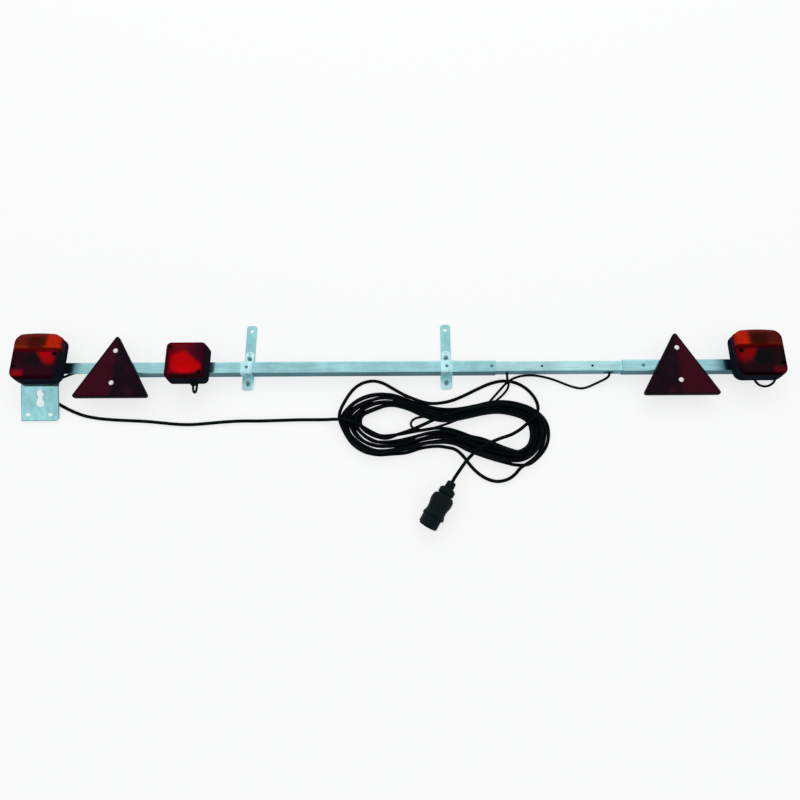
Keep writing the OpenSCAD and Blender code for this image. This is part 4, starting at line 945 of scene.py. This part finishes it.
def screw_well(lens, place, floor, face):
    """Drills a lens and makes the small well that carries its screw's head at the bottom."""
    drill(lens, place, WELL_OPENING, floor + 0.001, face + 0.01)
    low, high = floor, face - WELL_GAP
    deselect()
    bpy.ops.mesh.primitive_cylinder_add(vertices=32, radius=WELL_RADIUS, depth=high - low,
                                        location=(place[0], place[1], (low + high) / 2))
    cup = settle(bpy.context.object, "cup")
    bpy.ops.object.mode_set(mode="EDIT")
    pick(cup, lambda f: f.normal.z > 0.9, "face")
    bpy.ops.mesh.inset(thickness=WELL_WALL)
    bpy.ops.mesh.extrude_region_move(TRANSFORM_OT_translate={"value": (0, 0, low + 0.002 - high)})
    bpy.ops.mesh.inset(thickness=WELL_RADIUS - WELL_WALL - WELL_HOLE_RADIUS)
    bpy.ops.object.mode_set(mode="OBJECT")
    return cup


def copies_of(piece, name):
    copy = piece.copy()
    copy.data = piece.data.copy()
    copy.name = name
    copy.data.name = name
    bpy.context.scene.collection.objects.link(copy)
    return copy


class BOARD_OT_rear_lamps(bpy.types.Operator):
    """Moulds the two-colour lenses of both rear lamps, and gives the lamps' bases their finish"""

    bl_idname = "board.rear_lamps"
    bl_label = "Rear lamps"

    def execute(self, context):
        sizes = context.scene.board_sizes
        colours = context.scene.board_colours
        housing = moulded_finish("lamp_housing", tuple(colours.housing), 0.5, 900.0, 0.0)
        for side, where, body in ((-1, "left", "main"), (1, "right", "right")):
            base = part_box(where + "_lamp_base")
            amber_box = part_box(where + "_amber_lens")
            red_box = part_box(where + "_red_lens")
            low = (red_box[0][0], red_box[0][1], red_box[0][2])
            high = (red_box[1][0], amber_box[1][1] - sizes.lamp_arch, red_box[1][2] - sizes.lens_crown)
            split = amber_box[0][1]
            centre = (low[0] + high[0]) / 2
            block = rounded_block("lens_block", low, high, sizes.lamp_corner, sizes.lamp_arch,
                                  sizes.lens_edge, sizes.lens_crown, 0.001)
            shell_of(block, sizes.lens_wall)
            amber = half_of(copies_of(block, where + "_amber_window"), split + 0.0001, True)
            red = half_of(block, split, False)
            red.name = red.data.name = where + "_red_window"
            screws = self.screw_places(where)
            cups = []
            floor = base[1][2]
            for place in screws:
                cups.append(screw_well(red, place, floor, high[2]))
            join([red] + cups)
            red.name = where + "_red_window"
            front = high[2]
            dress(amber, amber_finish(amber.name, where, tuple(colours.amber), tuple(colours.amber_glint),
                                      centre, side, front))
            dress(red, red_finish(red.name, where, centre, side, front))
            for piece, node, slot in (
                (amber, where + "_amber_lens", "amber_lens"), (red, where + "_red_lens", "red_lens"),
            ):
                smooth(piece, 30)
                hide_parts(node)
                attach(piece, body)
        for name in ("left_lamp_base", "right_lamp_base", "fog_base"):
            dress(bpy.data.objects[name], housing)
        return {"FINISHED"}

    def screw_places(self, where):
        """Places of the lens screws, from the screws' own box."""
        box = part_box(where + "_lens_screws")
        r = SCREW_HEAD_RADIUS
        left, right = box[0][0] + r, box[1][0] - r
        low, high = box[0][1] + r, box[1][1] - r
        return [(right, high), (left, low)] if where == "left" else [(left, high), (right, low)]


class BOARD_OT_fog_lamp(bpy.types.Operator):
    """Moulds the red lens of the fog lamp"""

    bl_idname = "board.fog_lamp"
    bl_label = "Fog lamp"

    def execute(self, context):
        sizes = context.scene.board_sizes
        colours = context.scene.board_colours
        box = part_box("fog_lens")
        low = tuple(box[0])
        high = (box[1][0], box[1][1], box[1][2] - sizes.lens_crown)
        centre = (low[0] + high[0]) / 2
        lens = rounded_block("fog_window", low, high, sizes.fog_corner, 0.0,
                             sizes.lens_edge, sizes.lens_crown, 0.001)
        shell_of(lens, sizes.lens_wall)
        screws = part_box("fog_lens_screws")
        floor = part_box("fog_base")[1][2]
        r = SCREW_HEAD_RADIUS
        cups = []
        for place in ((screws[0][0] + r, screws[1][1] - r), (screws[1][0] - r, screws[0][1] + r)):
            cups.append(screw_well(lens, place, floor, high[2]))
        join([lens] + cups)
        lens.name = "fog_window"
        tones = (tuple(colours.fog_red), linear("#64020e"), linear("#360618"), linear("#24080e"))
        dress(lens, fog_lens_finish("fog_window", tones, centre, high[2]))
        smooth(lens, 30)
        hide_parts("fog_lens")
        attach(lens, "main")
        return {"FINISHED"}


class BOARD_OT_finishes(bpy.types.Operator):
    """Gives every metal, plastic and rubber piece of the frame its finish"""

    bl_idname = "board.finishes"
    bl_label = "Finishes"

    def execute(self, context):
        colours = context.scene.board_colours
        tube_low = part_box("main_tube")[0].y
        inner_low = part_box("inner_tube")[0].y
        # shaded lays painted shade on a tube's lower face, and a painted reflection of the dark rear lamps
        # where the tube reaches them
        zinc = zinc_finish("zinc_tube", tuple(colours.zinc), shaded=(tube_low + 0.0008, 0.26))
        bright = zinc_finish("zinc_bright", tuple(colours.bright_zinc), shaded=(inner_low + 0.0008, 0.42))
        strip_zinc = zinc_finish("zinc_strip", tuple(colours.strip_zinc), (80.0, 5.0, 80.0), gloss=0.22)
        saddle_zinc = zinc_finish("zinc_saddle", tuple(colours.bright_zinc), (60.0, 12.0, 60.0), gloss=0.32)
        low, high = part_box("keyhole_plate")
        plate_zinc = zinc_finish("zinc_plate", tuple(colours.plate_zinc), (40.0, 16.0, 40.0), gloss=0.14,
                                 edges=(low[0], high[0], low[1]))
        fixings = plated_finish("fixings", tuple(colours.fixing), 0.34)
        lens_screws = plated_finish("lens_screws", linear("#2a1a1e"), 0.36, 0.5)
        fog_screws = plated_finish("fog_screws", linear("#5a1014"), 0.40, 0.3)
        white_screws = plated_finish("bright_screws", linear("#f2f4f4"), 0.30, 0.25)
        black = moulded_finish("moulded_black", tuple(colours.black))
        rubber = moulded_finish("rubber", darker(tuple(colours.black), 0.8), 0.5, 600.0, 0.05)
        jacket = bpy.data.materials["cable_jacket"]
        brass = plated_finish("contact_brass", linear("#a8854a"), 0.3, 0.9)
        silver = plated_finish("silvered", linear("#d9dcdc"), 0.25, 0.6)
        glass = glass_finish("bulb_glass", linear("#e9e9e2"))
        amber_glass = glass_finish("amber_glass", linear("#e08a2a"))
        plug = moulded_finish("plug_plastic", tuple(colours.plug), 0.36, 700.0, 0.04)
        for names, material in (
            (("main_tube", "right_tube"), zinc),
            (("inner_tube",), bright),
            (("left_strap", "right_strap", "left_triangle_strip", "right_triangle_strip"), strip_zinc),
            (("left_saddle", "right_saddle"), saddle_zinc),
            (("keyhole_plate",), plate_zinc),
            (("main_lock_screw", "right_lock_screw", "left_lamp_bolts", "right_lamp_bolts",
              "fog_fixing_screws", "left_bracket_bolts", "right_bracket_bolts"), fixings),
            (("left_lens_screws", "right_lens_screws"), lens_screws),
            (("fog_lens_screws",), fog_screws),
            (("left_triangle_screws", "right_triangle_screws"), white_screws),
            (("left_triangle_backing", "right_triangle_backing"), black),
            (("left_lamp_grommets", "right_lamp_grommets", "fog_gland"), rubber),
            (("bar_cable",), jacket),
            (("plug_shell", "plug_nut", "plug_insert"), plug),
            (("plug_pins",), brass),
            (("left_lamp_reflector", "right_lamp_reflector", "fog_reflector"), silver),
            (("left_tail_bulb", "right_tail_bulb", "fog_bulb"), glass),
            (("left_indicator_bulb", "right_indicator_bulb"), amber_glass),
        ):
            for name in names:
                dress(bpy.data.objects[name], material)
        for where, lit in (("left", -1), ("right", 1)):
            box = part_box(where + "_triangle_prism")
            centre = (box[0][0] + box[1][0]) / 2
            prisms = prism_finish(where + "_prism", tuple(colours.prism), tuple(colours.prism_dull),
                                  centre, lit)
            dress(bpy.data.objects[where + "_triangle_prism"], prisms)
        return {"FINISHED"}


class BOARD_PT_panel(bpy.types.Panel):
    """Lists the steps that dress the lighting board"""

    bl_label = "Lighting board"
    bl_idname = "BOARD_PT_panel"
    bl_space_type = "VIEW_3D"
    bl_region_type = "UI"
    bl_category = "Lighting board"

    def draw(self, context):
        layout = self.layout
        for step in STEPS:
            layout.operator("board." + step)
        for group in (context.scene.board_sizes, context.scene.board_colours):
            for key in group.__annotations__:
                layout.prop(group, key)


STEPS = ("stage", "cables", "rear_lamps", "fog_lamp", "finishes")
CLASSES = (
    BoardSizes, BoardColours, BOARD_OT_stage, BOARD_OT_cables, BOARD_OT_rear_lamps, BOARD_OT_fog_lamp,
    BOARD_OT_finishes, BOARD_PT_panel,
)


def register():
    for item in CLASSES:
        bpy.utils.register_class(item)
    bpy.types.Scene.board_sizes = PointerProperty(type=BoardSizes)
    bpy.types.Scene.board_colours = PointerProperty(type=BoardColours)


def unregister():
    del bpy.types.Scene.board_colours
    del bpy.types.Scene.board_sizes
    for item in reversed(CLASSES):
        bpy.utils.unregister_class(item)


def main():
    register()
    for step in STEPS:
        getattr(bpy.ops.board, step)()
    deselect()
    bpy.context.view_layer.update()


if __name__ == "__main__":
    main()
